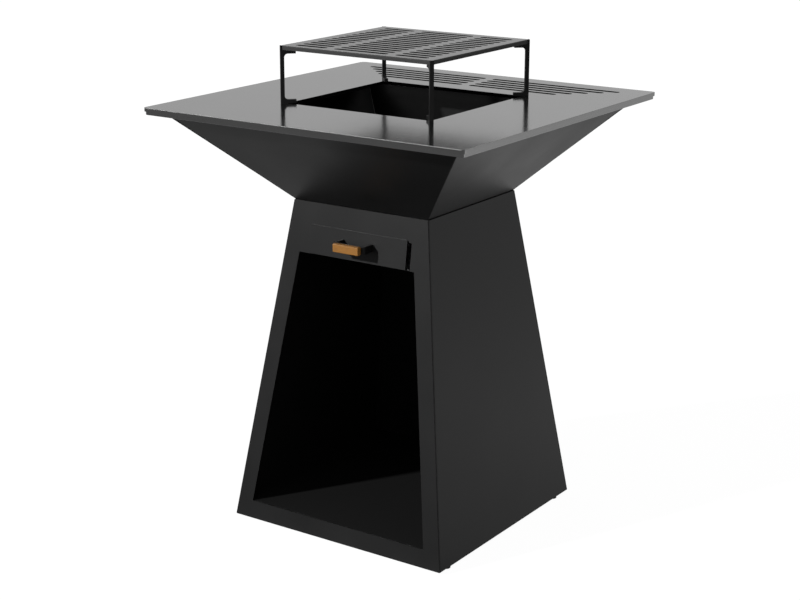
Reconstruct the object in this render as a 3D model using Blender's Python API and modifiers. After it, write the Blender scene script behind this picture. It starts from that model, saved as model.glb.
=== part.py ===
"""Plancha barbecue: a square griddle plate and a raised grill grate over a pyramid
fire bowl, on a tapered steel pedestal with a log store and an ash drawer.

Metres, +Z up. The origin is on the floor under the middle of the pedestal, and the
drawer and the log store face -Y. Run with: blender --background --python part.py
"""
from math import atan, cos, hypot, pi, radians, sin, sqrt

import bmesh
import bpy
from mathutils import Matrix, Vector

# Fits between pieces
SEAT_GAP = 0.0003
WELD_GAP = 0.0003
SCREW_CLEARANCE = 0.0002
MERGE = 0.00001

# Pedestal
FOOT_HEIGHT = 0.008
PEDESTAL_BOTTOM_SIDE = 0.553
PEDESTAL_TOP_SIDE = 0.349
PEDESTAL_HEIGHT = 0.727
PANEL_SHEET = 0.003
PANEL_EDGE_ROUND = 0.002
STILE_WIDTH = 0.040
BOTTOM_RAIL_HEIGHT = 0.040
TOP_RAIL_HEIGHT = 0.047
TOP_PLATE_SHEET = 0.004

# Log store floor and the channels that carry it
FLOOR_SHEET = 0.003
CHANNEL_SHEET = 0.003
CHANNEL_FLANGE = 0.030

# Feet and their nuts
FOOT_DIAMETER = 0.020
FOOT_CHAMFER = 0.0008
FOOT_SHOULDER = 0.0013
FOOT_SHOULDER_DROP = 0.0046
FOOT_END_INSET = 0.047
STUD_DIAMETER = 0.008
STUD_REACH = 0.013
NUT_WIDTH = 0.013
NUT_HEIGHT = 0.0065
NUT_PLAY = 0.0004

# Fire bowl and its bolts
BOWL_FOOT_INSET = 0.0025
BOWL_HEIGHT = 0.1943
BOWL_SHEET = 0.003
BOWL_UNDER_RIM = 0.0075
RIM_INSET = 0.003
RIM_WIDTH = 0.040
RIM_THICK = 0.0072
BOLT_INSET = 0.019
BOLT_HEAD_DIAMETER = 0.013
BOLT_HEAD_HEIGHT = 0.0045
BOLT_TIP = 0.002

# Fire grate, loose in the bottom of the bowl
FIRE_GRATE_PLAY = 0.0065
FIRE_GRATE_LAP = 0.020
FIRE_GRATE_THICK = 0.010
FIRE_GRATE_MARGIN = 0.018
FIRE_GRATE_PITCH = 0.0225
FIRE_SLOT_WIDTH = 0.010
FIRE_GRATE_WEB = 0.012

# Griddle plate and the lugs that centre it on the rim
PLATE_SIDE = 0.800
PLATE_THICK = 0.008
PLATE_CORNER_RADIUS = 0.010
PLATE_EDGE_ROUND = 0.0012
FIRE_HOLE_SIDE = 0.368
FIRE_HOLE_RADIUS = 0.004
LUG_LENGTH = 0.014
LUG_SHEET = 0.004
LUG_DEPTH = 0.009
LUG_PLAY = 0.0015

# Searing slots, in rows behind the fire hole
SEAR_LAST_ROW_INSET = 0.0552
SEAR_FRONT_MARGIN = 0.050
SEAR_PITCH = 0.0257
SEAR_SLOT_WIDTH = 0.014
SEAR_WEB = 0.020
SEAR_END_INSET = 0.008

# Raised grill grate
GRATE_OVERHANG = 0.00775
GRATE_THICK = 0.009
GRATE_LIFT = 0.1144
GRATE_EDGE_ROUND = 0.003
GRATE_CORNER_RADIUS = 0.0035
GRATE_PITCH = 0.0252
GRATE_SLOT_WIDTH = 0.0138
GRATE_FRONT_ROW_INSET = 0.02525
GRATE_BACK_MARGIN = 0.027
GRATE_SIDE_MARGIN = 0.0243
GRATE_RIB = 0.020
GRATE_MIDDLE_SLOT = 0.135

# Legs of the raised grate, on its diagonals, and their screws
LEG_WIDTH = 0.0085
LEG_THICK = 0.0085
LEG_REACH = 0.0335
LEG_ARM_HEIGHT = 0.008
LEG_FILLET = 0.008
LEG_EAR = 0.0022
LEG_SCREW_DIAMETER = 0.003
LEG_SCREW_INSET = 0.0265
LEG_SCREW_SINK = 0.0028
LEG_SCREW_BITE = 0.005
LEG_SCREW_HEAD_DIAMETER = 0.0055
LEG_SCREW_HEAD_HEIGHT = 0.0018

# Ash drawer, its opening in the front panel and the shelf under it
DRAWER_CENTRE_X = 0.004
DRAWER_FRONT_HEIGHT = 0.0623
DRAWER_FRONT_SHEET = 0.003
DRAWER_FRONT_RADIUS = 0.0015
DRAWER_FRONT_SIDE_LAP = 0.0115
DRAWER_FRONT_TOP_LAP = 0.0044
DRAWER_FRONT_LIFT = 0.0012
DRAUGHT_SLOT_WIDTH = 0.0095
DRAWER_OPENING_RADIUS = 0.003
SHELF_SHEET = 0.003
SHELF_TONGUE_SETBACK = 0.0004
TRAY_WIDTH = 0.228
TRAY_SHEET = 0.0015
TRAY_SIDE_PLAY = 0.0035
TRAY_HEADROOM = 0.0108
TRAY_BACK_PLAY = 0.004
GUIDE_HEIGHT = 0.012
GUIDE_WIDTH = 0.012
GUIDE_SHEET = 0.002
GUIDE_PLAY = 0.0006

# Chute that leads the ash down to the drawer
CHUTE_SHEET = 0.0015
CHUTE_LIP = 0.0025
CHUTE_SIDE_PLAY = 0.0075
CHUTE_CLEARANCE = 0.0075

# Drawer handle
HANDLE_RISE = 0.0031
HANDLE_STAND_OFF = 0.048
GRIP_LENGTH = 0.066
GRIP_HEIGHT = 0.018
GRIP_DEPTH = 0.012
GRIP_EDGE_ROUND = 0.0018
BRACKET_SPAN = 0.080
BRACKET_BAR = 0.005
BRACKET_HEIGHT = 0.016
BRACKET_BEND = 0.007
HANDLE_SCREW_PITCH = 0.040
HANDLE_SCREW_DIAMETER = 0.004
HANDLE_SCREW_BITE = 0.008
HANDLE_SCREW_HEAD_DIAMETER = 0.008
HANDLE_SCREW_HEAD_HEIGHT = 0.0025

# Steps of the facets
ARC_STEPS = 5
SLOT_STEPS = 4
ROUND_STEPS = 20
HEAD_STEPS = 3
SHARP_ANGLE = radians(30)

# Sizes that follow from the ones above
TAPER = (PEDESTAL_BOTTOM_SIDE - PEDESTAL_TOP_SIDE) / 2 / PEDESTAL_HEIGHT
WALL_LEAN = atan(TAPER)
PANEL_SLOPE = hypot(1, TAPER)
PEDESTAL_TOP_Z = FOOT_HEIGHT + PEDESTAL_HEIGHT
DRAWER_FRONT_TOP_Z = PEDESTAL_TOP_Z - TOP_RAIL_HEIGHT
DRAWER_FRONT_BOTTOM_Z = DRAWER_FRONT_TOP_Z - DRAWER_FRONT_HEIGHT
DRAWER_OPENING_TOP_Z = DRAWER_FRONT_TOP_Z - DRAWER_FRONT_TOP_LAP
HANDLE_Z = (DRAWER_FRONT_TOP_Z + DRAWER_FRONT_BOTTOM_Z) / 2 + HANDLE_RISE
STORE_TOP_Z = DRAWER_FRONT_BOTTOM_Z - DRAWER_FRONT_LIFT
FLOOR_TOP_Z = FOOT_HEIGHT + BOTTOM_RAIL_HEIGHT
CHANNEL_TOP_Z = FLOOR_TOP_Z - FLOOR_SHEET - WELD_GAP
SHELF_TOP_Z = STORE_TOP_Z + SHELF_SHEET
TRAY_BOTTOM_Z = SHELF_TOP_Z + SEAT_GAP
TRAY_TOP_Z = DRAWER_OPENING_TOP_Z - TRAY_HEADROOM
DRAWER_FRONT_WIDTH = TRAY_WIDTH + 2 * DRAWER_FRONT_SIDE_LAP
DRAWER_OPENING_LEFT = DRAWER_CENTRE_X - TRAY_WIDTH / 2 - TRAY_SIDE_PLAY
DRAWER_OPENING_RIGHT = DRAWER_CENTRE_X + DRAWER_FRONT_WIDTH / 2 + DRAUGHT_SLOT_WIDTH
CHUTE_BOTTOM_SIDE = TRAY_WIDTH - 2 * TRAY_SHEET - 2 * CHUTE_SIDE_PLAY
RIM_SIDE = PLATE_SIDE - 2 * RIM_INSET
RIM_INNER_SIDE = RIM_SIDE - 2 * RIM_WIDTH
BOWL_TOP_SIDE = RIM_INNER_SIDE + 2 * BOWL_UNDER_RIM
BOWL_BOTTOM_SIDE = PEDESTAL_TOP_SIDE - 2 * BOWL_FOOT_INSET
BOWL_BOTTOM_Z = PEDESTAL_TOP_Z + SEAT_GAP
BOWL_TOP_Z = BOWL_BOTTOM_Z + BOWL_HEIGHT
BOWL_SPREAD = (BOWL_TOP_SIDE - BOWL_BOTTOM_SIDE) / 2
BOWL_RUN = BOWL_SHEET * hypot(BOWL_HEIGHT, BOWL_SPREAD) / BOWL_HEIGHT
BOWL_FLOOR_TOP_Z = BOWL_BOTTOM_Z + BOWL_SHEET
BOLT_PITCH = BOWL_BOTTOM_SIDE - 2 * BOLT_INSET
FIRE_GRATE_SIDE = BOLT_PITCH - BOLT_HEAD_DIAMETER - 2 * FIRE_GRATE_PLAY
ASH_HOLE_SIDE = FIRE_GRATE_SIDE - 2 * FIRE_GRATE_LAP
RIM_TOP_Z = BOWL_TOP_Z + WELD_GAP + RIM_THICK
PLATE_BOTTOM_Z = RIM_TOP_Z + SEAT_GAP
PLATE_TOP_Z = PLATE_BOTTOM_Z + PLATE_THICK
GRATE_SIDE = FIRE_HOLE_SIDE + 2 * GRATE_OVERHANG
GRATE_BOTTOM_Z = PLATE_TOP_Z + GRATE_LIFT
FOOT_Y = PEDESTAL_BOTTOM_SIDE / 2 - FOOT_END_INSET
FOOT_NUT_TOP_Z = FOOT_HEIGHT + CHANNEL_SHEET + SEAT_GAP + NUT_HEIGHT


def pedestal_half(z):
    """Half the pedestal's outer width at a height."""
    return PEDESTAL_BOTTOM_SIDE / 2 - TAPER * (z - FOOT_HEIGHT)


def pedestal_inner_half(z):
    """Half the clear width between the pedestal's walls at a height."""
    return pedestal_half(z) - PANEL_SHEET * PANEL_SLOPE


def up_wall(z):
    """Distance up the slope of a pedestal wall to a height."""
    return (z - FOOT_HEIGHT) * PANEL_SLOPE


def rows_in(space, pitch):
    """How many rows at a pitch fit in the space between the first and the last."""
    return 1 + int(space / pitch)


def clear_scene():
    for old in list(bpy.data.objects):
        bpy.data.objects.remove(old, do_unlink=True)


def new_collection(name):
    collection = bpy.data.collections.new(name)
    bpy.context.scene.collection.children.link(collection)
    return collection


def new_material(name, colour, roughness, metallic):
    material = bpy.data.materials.new(name)
    material.use_nodes = True
    shader = material.node_tree.nodes["Principled BSDF"]
    shader.inputs["Base Color"].default_value = (*colour, 1)
    shader.inputs["Roughness"].default_value = roughness
    shader.inputs["Metallic"].default_value = metallic
    material.diffuse_color = (*colour, 1)
    return material


clear_scene()
MODEL = new_collection("plancha_barbecue")
CUTTERS = new_collection("cutters")
BLACK_PAINT = new_material("black_paint", (0.022, 0.022, 0.023), 0.38, 0.0)
BOWL_PAINT = new_material("bowl_paint", (0.018, 0.018, 0.019), 0.45, 0.0)
GRIDDLE_STEEL = new_material("griddle_steel", (0.055, 0.055, 0.057), 0.30, 0.6)
GRATE_STEEL = new_material("grate_steel", (0.09, 0.09, 0.092), 0.42, 0.5)
LEG_PAINT = new_material("leg_paint", (0.020, 0.020, 0.020), 0.50, 0.0)
ZINC_SHEET = new_material("zinc_sheet", (0.34, 0.35, 0.36), 0.42, 0.9)
FASTENER_STEEL = new_material("fastener_steel", (0.30, 0.30, 0.31), 0.35, 1.0)
OAK = new_material("oiled_oak", (0.46, 0.22, 0.07), 0.50, 0.0)
FOOT_PLASTIC = new_material("foot_plastic", (0.015, 0.015, 0.015), 0.60, 0.0)


def arc(centre, radius, start, end, steps=ARC_STEPS):
    """Points on an arc between two angles in degrees, both ends included."""
    angles = [radians(start + (end - start) * i / steps) for i in range(steps + 1)]
    return [(centre[0] + radius * cos(a), centre[1] + radius * sin(a)) for a in angles]


def rectangle(x0, y0, x1, y1, radius=0):
    """Outline of a rectangle, with round corners where a radius is given."""
    if radius == 0:
        return [(x0, y0), (x1, y0), (x1, y1), (x0, y1)]
    return (arc((x1 - radius, y0 + radius), radius, -90, 0)
            + arc((x1 - radius, y1 - radius), radius, 0, 90)
            + arc((x0 + radius, y1 - radius), radius, 90, 180)
            + arc((x0 + radius, y0 + radius), radius, 180, 270))


def square(side, radius=0):
    return rectangle(-side / 2, -side / 2, side / 2, side / 2, radius)


def slot(x0, x1, y, width):
    """Outline of a slot along X with round ends."""
    r = width / 2
    return arc((x1 - r, y), r, -90, 90, SLOT_STEPS) + arc((x0 + r, y), r, 90, 270, SLOT_STEPS)


def circle(x, y, diameter, steps=ROUND_STEPS):
    r = diameter / 2
    turns = [2 * pi * i / steps for i in range(steps)]
    return [(x + r * cos(a), y + r * sin(a)) for a in turns]


def four_corners(pitch):
    return [(x * pitch / 2, y * pitch / 2) for y in (-1, 1) for x in (-1, 1)]


def domed_head(radius, base, height):
    """Profile of a screw's domed head, from the crown at its middle to its rim."""
    angles = [pi / 2 * (1 - i / HEAD_STEPS) for i in range(HEAD_STEPS + 1)]
    return [(radius * cos(a), base + height * sin(a)) for a in angles[1:]]


def finish_object(obj, material, parent):
    """Give an object its material, its collection and its parent, kept where it is."""
    MODEL.objects.link(obj)
    obj.data.materials.clear()
    obj.data.materials.append(material)
    obj.data.shade_smooth()
    obj.data.set_sharp_from_angle(angle=SHARP_ANGLE)
    if parent:
        obj.parent = parent
        obj.matrix_parent_inverse = Matrix.Translation(-parent.location)
    return obj


def mesh_from(name, bm):
    """Mesh of a bmesh, with its normals pointing out."""
    bmesh.ops.recalc_face_normals(bm, faces=bm.faces)
    mesh = bpy.data.meshes.new(name)
    bm.to_mesh(mesh)
    bm.free()
    return mesh


def mesh_object(name, bm, material, parent=None):
    return finish_object(bpy.data.objects.new(name, mesh_from(name, bm)), material, parent)


def evaluated_bmesh(maker):
    """What an object's curve or modifiers make, as a welded bmesh. Removes the object."""
    MODEL.objects.link(maker)
    bpy.context.view_layer.update()
    evaluated = maker.evaluated_get(bpy.context.evaluated_depsgraph_get())
    mesh = bpy.data.meshes.new_from_object(evaluated)
    bm = bmesh.new()
    bm.from_mesh(mesh)
    bpy.data.meshes.remove(mesh)
    bpy.data.objects.remove(maker)
    bmesh.ops.remove_doubles(bm, verts=bm.verts, dist=MERGE)
    return bm


def flat_piece(name, outlines, thickness, material, parent=None):
    """Sheet or bar cut in its own XY plane: the first outline, less the others."""
    curve = bpy.data.curves.new(name + "_outline", "CURVE")
    curve.dimensions = "2D"
    curve.fill_mode = "BOTH"
    curve.extrude = thickness / 2
    for points in outlines:
        spline = curve.splines.new("POLY")
        spline.points.add(len(points) - 1)
        for point, (x, y) in zip(spline.points, points):
            point.co = (x, y, 0, 1)
        spline.use_cyclic_u = True
    bm = evaluated_bmesh(bpy.data.objects.new(name + "_outline", curve))
    return mesh_object(name, bm, material, parent)


def turned_piece(name, profile, material, parent=None):
    """Piece turned about its own Z axis from (radius, height) points, top to bottom."""
    mesh = bpy.data.meshes.new(name + "_profile")
    points = [(radius, 0, height) for radius, height in profile]
    mesh.from_pydata(points, [(i, i + 1) for i in range(len(points) - 1)], [])
    maker = bpy.data.objects.new(name + "_profile", mesh)
    screw = maker.modifiers.new("Turn", "SCREW")
    screw.axis = "Z"
    screw.steps = ROUND_STEPS
    screw.render_steps = ROUND_STEPS
    screw.use_merge_vertices = True
    screw.merge_threshold = MERGE
    return mesh_object(name, evaluated_bmesh(maker), material, parent)


def box_bmesh(size, centre=(0, 0, 0)):
    bm = bmesh.new()
    bmesh.ops.create_cube(bm, size=1)
    bmesh.ops.scale(bm, vec=size, verts=bm.verts)
    bmesh.ops.translate(bm, vec=centre, verts=bm.verts)
    return bm


def round_edges(piece, radius, chosen, segments=3):
    """Round the sharp edges whose two ends both pass a test on their coordinates."""
    bm = bmesh.new()
    bm.from_mesh(piece.data)
    weight = bm.edges.layers.float.new("bevel_weight_edge")
    for edge in bm.edges:
        sharp = edge.calc_face_angle(0) > SHARP_ANGLE
        edge[weight] = float(sharp and all(chosen(vert.co) for vert in edge.verts))
    bm.to_mesh(piece.data)
    bm.free()
    bevel = piece.modifiers.new("Round edges", "BEVEL")
    bevel.limit_method = "WEIGHT"
    bevel.width = radius
    bevel.segments = segments


def wall_inward(piece, thickness):
    """Give an open surface its wall, on the inner side."""
    wall = piece.modifiers.new("Wall", "SOLIDIFY")
    wall.thickness = thickness
    wall.offset = -1
    wall.use_even_offset = True


def place_cutter(name, bm, centre=(0, 0, 0), rotation=(0, 0, 0)):
    cutter = bpy.data.objects.new(name, mesh_from(name, bm))
    CUTTERS.objects.link(cutter)
    cutter.location = centre
    cutter.rotation_euler = rotation
    cutter.hide_render = True
    cutter.display_type = "WIRE"
    return cutter


def round_cutter(name, diameter, length, centre, rotation=(0, 0, 0)):
    """Round cutter along its own Z, centred on a point."""
    bm = bmesh.new()
    bmesh.ops.create_cone(bm, cap_ends=True, segments=ROUND_STEPS,
                          radius1=diameter / 2, radius2=diameter / 2, depth=length)
    return place_cutter(name, bm, centre, rotation)


def cut(piece, cutter):
    difference = piece.modifiers.new("Cut " + cutter.name, "BOOLEAN")
    difference.operation = "DIFFERENCE"
    difference.solver = "EXACT"
    difference.object = cutter


def pivot(name, location):
    """Empty at a moving body's reference point."""
    empty = bpy.data.objects.new(name, None)
    empty.empty_display_size = 0.05
    MODEL.objects.link(empty)
    empty.location = location
    return empty


def lean_on_wall(piece, turn, proud):
    """Stand a sheet on a pedestal wall, with its own Y up the slope from the bottom edge.

    turn is the wall's turn about Z, 0 for the front, and proud is how far the middle
    of the sheet lies outside the wall's outer face.
    """
    tilt = pi / 2 - WALL_LEAN
    outward = Matrix.Rotation(tilt, 3, "X") @ Vector((0, 0, proud))
    foot = Vector((0, -PEDESTAL_BOTTOM_SIDE / 2, FOOT_HEIGHT)) + outward
    piece.location = Matrix.Rotation(turn, 3, "Z") @ foot
    piece.rotation_euler = (tilt, 0, turn)


def wall_outline(inset=0.0):
    """Outline of a pedestal wall in its own plane, each side edge moved in by inset."""
    bottom = PEDESTAL_BOTTOM_SIDE / 2 - inset
    top = PEDESTAL_TOP_SIDE / 2 - inset
    height = up_wall(PEDESTAL_TOP_Z)
    return [(-bottom, 0), (bottom, 0), (top, height), (-top, height)]


def front_opening():
    """Log store opening with the drawer opening standing on it, in the wall's plane."""
    sill = up_wall(FLOOR_TOP_Z)
    lintel = up_wall(STORE_TOP_Z)
    top = up_wall(DRAWER_OPENING_TOP_Z)
    low_half = pedestal_half(FLOOR_TOP_Z) - STILE_WIDTH
    high_half = pedestal_half(STORE_TOP_Z) - STILE_WIDTH
    left, right, r = DRAWER_OPENING_LEFT, DRAWER_OPENING_RIGHT, DRAWER_OPENING_RADIUS
    return ([(-low_half, sill), (low_half, sill), (high_half, lintel), (right, lintel)]
            + arc((right - r, top - r), r, 0, 90)
            + arc((left + r, top - r), r, 90, 180)
            + [(left, lintel), (-high_half, lintel)])


def on_outer_corner(co):
    """True on the outer face's two slanted side edges of a pedestal wall."""
    half = PEDESTAL_BOTTOM_SIDE / 2 - TAPER / PANEL_SLOPE * co.y
    return co.z > 0 and abs(co.x) > half - MERGE


def build_pedestal_walls():
    """Front and back sheets over the full width, side sheets between them."""
    for name, turn, holes in (("front_panel", 0, [front_opening()]), ("back_panel", pi, [])):
        panel = flat_piece(name, [wall_outline()] + holes, PANEL_SHEET, BLACK_PAINT)
        lean_on_wall(panel, turn, -PANEL_SHEET / 2)
        round_side_corners(panel)
    side_inset = PANEL_SHEET * PANEL_SLOPE + WELD_GAP
    for name, turn in (("right_panel", pi / 2), ("left_panel", -pi / 2)):
        panel = flat_piece(name, [wall_outline(side_inset)], PANEL_SHEET, BLACK_PAINT)
        lean_on_wall(panel, turn, -PANEL_SHEET / 2)


def round_side_corners(panel):
    """Round the slanted outer corners, leaving the level top and bottom edges square."""
    round_edges(panel, PANEL_EDGE_ROUND, on_outer_corner)
    bm = bmesh.new()
    bm.from_mesh(panel.data)
    weight = bm.edges.layers.float["bevel_weight_edge"]
    for edge in bm.edges:
        low, high = sorted(vert.co.y for vert in edge.verts)
        if high - low < MERGE:
            edge[weight] = 0.0
    bm.to_mesh(panel.data)
    bm.free()


def build_pedestal_top():
    """Plate that closes the pedestal and carries the bowl, with the hole for the ash."""
    side = 2 * (pedestal_inner_half(PEDESTAL_TOP_Z) - WELD_GAP)
    hole = STUD_DIAMETER + 2 * SCREW_CLEARANCE
    outlines = [square(side), square(ASH_HOLE_SIDE)]
    outlines += [circle(x, y, hole) for x, y in four_corners(BOLT_PITCH)]
    plate = flat_piece("pedestal_top_plate", outlines, TOP_PLATE_SHEET, BLACK_PAINT)
    plate.location.z = PEDESTAL_TOP_Z - TOP_PLATE_SHEET / 2


def build_log_store():
    """Floor sheet on two folded channels along the sides."""
    side = 2 * (pedestal_inner_half(FLOOR_TOP_Z) - WELD_GAP)
    floor = flat_piece("log_store_floor", [square(side)], FLOOR_SHEET, BLACK_PAINT)
    floor.location.z = FLOOR_TOP_Z - FLOOR_SHEET / 2
    length = 2 * (pedestal_inner_half(CHANNEL_TOP_Z) - WELD_GAP)
    for name, sign in (("right_channel", 1), ("left_channel", -1)):
        points = [(sign * x, z) for x, z in channel_profile()]
        channel = flat_piece(name, [points], length, BLACK_PAINT)
        channel.rotation_euler = (pi / 2, 0, 0)
        for y in (-FOOT_Y, FOOT_Y):
            cut(channel, round_cutter(f"{name}_stud_hole", STUD_DIAMETER + 2 * SCREW_CLEARANCE,
                                      4 * CHANNEL_SHEET, (sign * foot_x(), y, FOOT_HEIGHT)))


def web(z):
    """Outer face of a channel's web, which follows the lean of the side panel."""
    return pedestal_inner_half(z) - WELD_GAP


def foot_x():
    """Distance of the feet from the middle, where their nuts clear the channels' webs."""
    return web(FOOT_NUT_TOP_Z) - CHANNEL_SHEET - NUT_PLAY - NUT_WIDTH / 2


def channel_profile():
    """C section of a channel that carries the floor, in X and Z."""
    bottom, top, sheet = FOOT_HEIGHT, CHANNEL_TOP_Z, CHANNEL_SHEET
    return [(web(bottom), bottom), (web(top), top), (web(top) - CHANNEL_FLANGE, top),
            (web(top) - CHANNEL_FLANGE, top - sheet), (web(top - sheet) - sheet, top - sheet),
            (web(bottom + sheet) - sheet, bottom + sheet),
            (web(bottom) - CHANNEL_FLANGE, bottom + sheet), (web(bottom) - CHANNEL_FLANGE, bottom)]


def build_feet():
    """Glides on threaded studs, each held by a nut on the channel's lower flange."""
    r = FOOT_DIAMETER / 2
    stud = STUD_DIAMETER / 2
    top = FOOT_HEIGHT - SEAT_GAP
    tip = FOOT_HEIGHT + STUD_REACH
    profile = [(0, tip), (stud - FOOT_CHAMFER, tip), (stud, tip - FOOT_CHAMFER), (stud, top),
               (r - FOOT_SHOULDER, top), (r, top - FOOT_SHOULDER_DROP), (r, FOOT_CHAMFER),
               (r - FOOT_CHAMFER, 0), (0, 0)]
    nut_z = FOOT_NUT_TOP_Z - NUT_HEIGHT / 2
    corners = [("front_left", -1, -1), ("front_right", 1, -1), ("back_left", -1, 1), ("back_right", 1, 1)]
    for corner, x_side, y_side in corners:
        foot = turned_piece(f"foot_{corner}", profile, FOOT_PLASTIC)
        foot.location = (x_side * foot_x(), y_side * FOOT_Y, 0)
        hex_nut(f"foot_nut_{corner}", (x_side * foot_x(), y_side * FOOT_Y, nut_z))


def hex_nut(name, centre):
    """Nut with two of its flats facing along X."""
    hole = STUD_DIAMETER + 2 * SCREW_CLEARANCE
    hexagon = [(x, y) for y, x in circle(0, 0, NUT_WIDTH / cos(pi / 6), 6)]
    outlines = [hexagon, circle(0, 0, hole)]
    nut = flat_piece(name, outlines, NUT_HEIGHT, FASTENER_STEEL)
    nut.location = centre


def build_bowl():
    """Four mitred walls, a floor with the ash hole, a flat rim and the bolts."""
    for name, turn in (("bowl_front", 0), ("bowl_right", pi / 2), ("bowl_back", pi), ("bowl_left", -pi / 2)):
        wall = mesh_object(name, bowl_wall_bmesh(), BOWL_PAINT)
        wall.rotation_euler.z = turn
    hole = STUD_DIAMETER + 2 * SCREW_CLEARANCE
    outlines = [square(BOWL_BOTTOM_SIDE - 2 * BOWL_RUN - 2 * WELD_GAP), square(ASH_HOLE_SIDE)]
    outlines += [circle(x, y, hole) for x, y in four_corners(BOLT_PITCH)]
    floor = flat_piece("bowl_floor", outlines, BOWL_SHEET, BOWL_PAINT)
    floor.location.z = BOWL_BOTTOM_Z + BOWL_SHEET / 2
    rim = flat_piece("bowl_rim", [square(RIM_SIDE, PLATE_CORNER_RADIUS - RIM_INSET), square(RIM_INNER_SIDE)],
                     RIM_THICK, GRIDDLE_STEEL)
    rim.location.z = RIM_TOP_Z - RIM_THICK / 2
    build_bowl_bolts()


def bowl_wall_bmesh():
    """Front wall of the bowl: a slab whose ends are mitred on the bowl's diagonals."""
    bm = box_bmesh((2, 2, 2))
    for vert in bm.verts:
        x_side, y_side, z_side = vert.co
        half = (BOWL_TOP_SIDE if z_side > 0 else BOWL_BOTTOM_SIDE) / 2
        depth = half if y_side < 0 else half - BOWL_RUN
        z = BOWL_TOP_Z if z_side > 0 else BOWL_BOTTOM_Z
        vert.co = (x_side * (depth - WELD_GAP / 2), -depth, z)
    return bm


def build_bowl_bolts():
    """Bolts through the bowl's floor and the pedestal's top plate, with nuts below."""
    head, shank = BOLT_HEAD_DIAMETER / 2, STUD_DIAMETER / 2
    under_head = BOWL_FLOOR_TOP_Z + SEAT_GAP
    nut_top = PEDESTAL_TOP_Z - TOP_PLATE_SHEET - SEAT_GAP
    tip = nut_top - NUT_HEIGHT - BOLT_TIP
    profile = ([(0, under_head + BOLT_HEAD_HEIGHT)] + domed_head(head, under_head, BOLT_HEAD_HEIGHT)
               + [(shank, under_head), (shank, tip), (0, tip)])
    names = ("front_left", "front_right", "back_left", "back_right")
    for corner, (x, y) in zip(names, four_corners(BOLT_PITCH)):
        bolt = turned_piece(f"bowl_bolt_{corner}", profile, FASTENER_STEEL)
        bolt.location = (x, y, 0)
        hex_nut(f"bowl_nut_{corner}", (x, y, nut_top - NUT_HEIGHT / 2))


def build_fire_grate(body):
    """Thick slotted plate that lies over the ash hole."""
    outlines = [square(FIRE_GRATE_SIDE, FIRE_GRATE_WEB / 2)]
    near, far = FIRE_GRATE_WEB / 2, FIRE_GRATE_SIDE / 2 - FIRE_GRATE_MARGIN
    rows = rows_in(2 * far - FIRE_SLOT_WIDTH, FIRE_GRATE_PITCH)
    for row in range(rows):
        y = (row - (rows - 1) / 2) * FIRE_GRATE_PITCH
        outlines += [slot(near, far, y, FIRE_SLOT_WIDTH), slot(-far, -near, y, FIRE_SLOT_WIDTH)]
    grate = flat_piece("fire_grate", outlines, FIRE_GRATE_THICK, GRATE_STEEL, body)
    grate.location.z = BOWL_FLOOR_TOP_Z + SEAT_GAP + FIRE_GRATE_THICK / 2


def build_griddle(body):
    """Griddle plate with the fire hole and the searing slots, and its centring lugs."""
    outlines = [square(PLATE_SIDE, PLATE_CORNER_RADIUS), square(FIRE_HOLE_SIDE, FIRE_HOLE_RADIUS)]
    last_row = PLATE_SIDE / 2 - SEAR_LAST_ROW_INSET
    for row in range(rows_in(last_row - FIRE_HOLE_SIDE / 2 - SEAR_FRONT_MARGIN, SEAR_PITCH)):
        y = last_row - row * SEAR_PITCH
        near, far = SEAR_WEB / 2, y - SEAR_END_INSET
        outlines += [slot(near, far, y, SEAR_SLOT_WIDTH), slot(-far, -near, y, SEAR_SLOT_WIDTH)]
    plate = flat_piece("griddle_plate", outlines, PLATE_THICK, GRIDDLE_STEEL, body)
    plate.location.z = PLATE_BOTTOM_Z + PLATE_THICK / 2
    edge = PLATE_SIDE / 2 - PLATE_CORNER_RADIUS
    round_edges(plate, PLATE_EDGE_ROUND, lambda co: max(abs(co.x), abs(co.y)) > edge, segments=2)
    reach = RIM_INNER_SIDE / 2 - LUG_PLAY - LUG_SHEET / 2
    lug_z = PLATE_BOTTOM_Z - WELD_GAP - LUG_DEPTH / 2
    for name, turn in (("front", 0), ("right", pi / 2), ("back", pi), ("left", -pi / 2)):
        lug = mesh_object(f"plate_lug_{name}", box_bmesh((LUG_LENGTH, LUG_SHEET, LUG_DEPTH)), BLACK_PAINT, body)
        lug.location = Matrix.Rotation(turn, 3, "Z") @ Vector((0, -reach, lug_z))
        lug.rotation_euler.z = turn


def build_raised_grate(body):
    """Slotted grill grate on four C-shaped legs, each held by a screw from below."""
    outlines = [square(GRATE_SIDE, GRATE_CORNER_RADIUS)]
    middle = GRATE_MIDDLE_SLOT / 2
    near, far = middle + GRATE_RIB, GRATE_SIDE / 2 - GRATE_SIDE_MARGIN
    for row in range(rows_in(GRATE_SIDE - GRATE_FRONT_ROW_INSET - GRATE_BACK_MARGIN, GRATE_PITCH)):
        y = GRATE_FRONT_ROW_INSET - GRATE_SIDE / 2 + row * GRATE_PITCH
        outlines += [slot(left, right, y, GRATE_SLOT_WIDTH)
                     for left, right in ((-far, -near), (-middle, middle), (near, far))]
    grate = flat_piece("grill_grate", outlines, GRATE_THICK, GRATE_STEEL, body)
    grate.location.z = GRATE_BOTTOM_Z + GRATE_THICK / 2
    edge = GRATE_SIDE / 2 - GRATE_CORNER_RADIUS
    round_edges(grate, GRATE_EDGE_ROUND, lambda co: max(abs(co.x), abs(co.y)) > edge)
    corner_reach = sqrt(2) * edge + GRATE_CORNER_RADIUS + WELD_GAP + LEG_EAR
    names = ("back_right", "back_left", "front_left", "front_right")
    for corner, name in enumerate(names):
        build_leg(name, pi / 4 + corner * pi / 2, corner_reach, grate, body)


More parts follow.
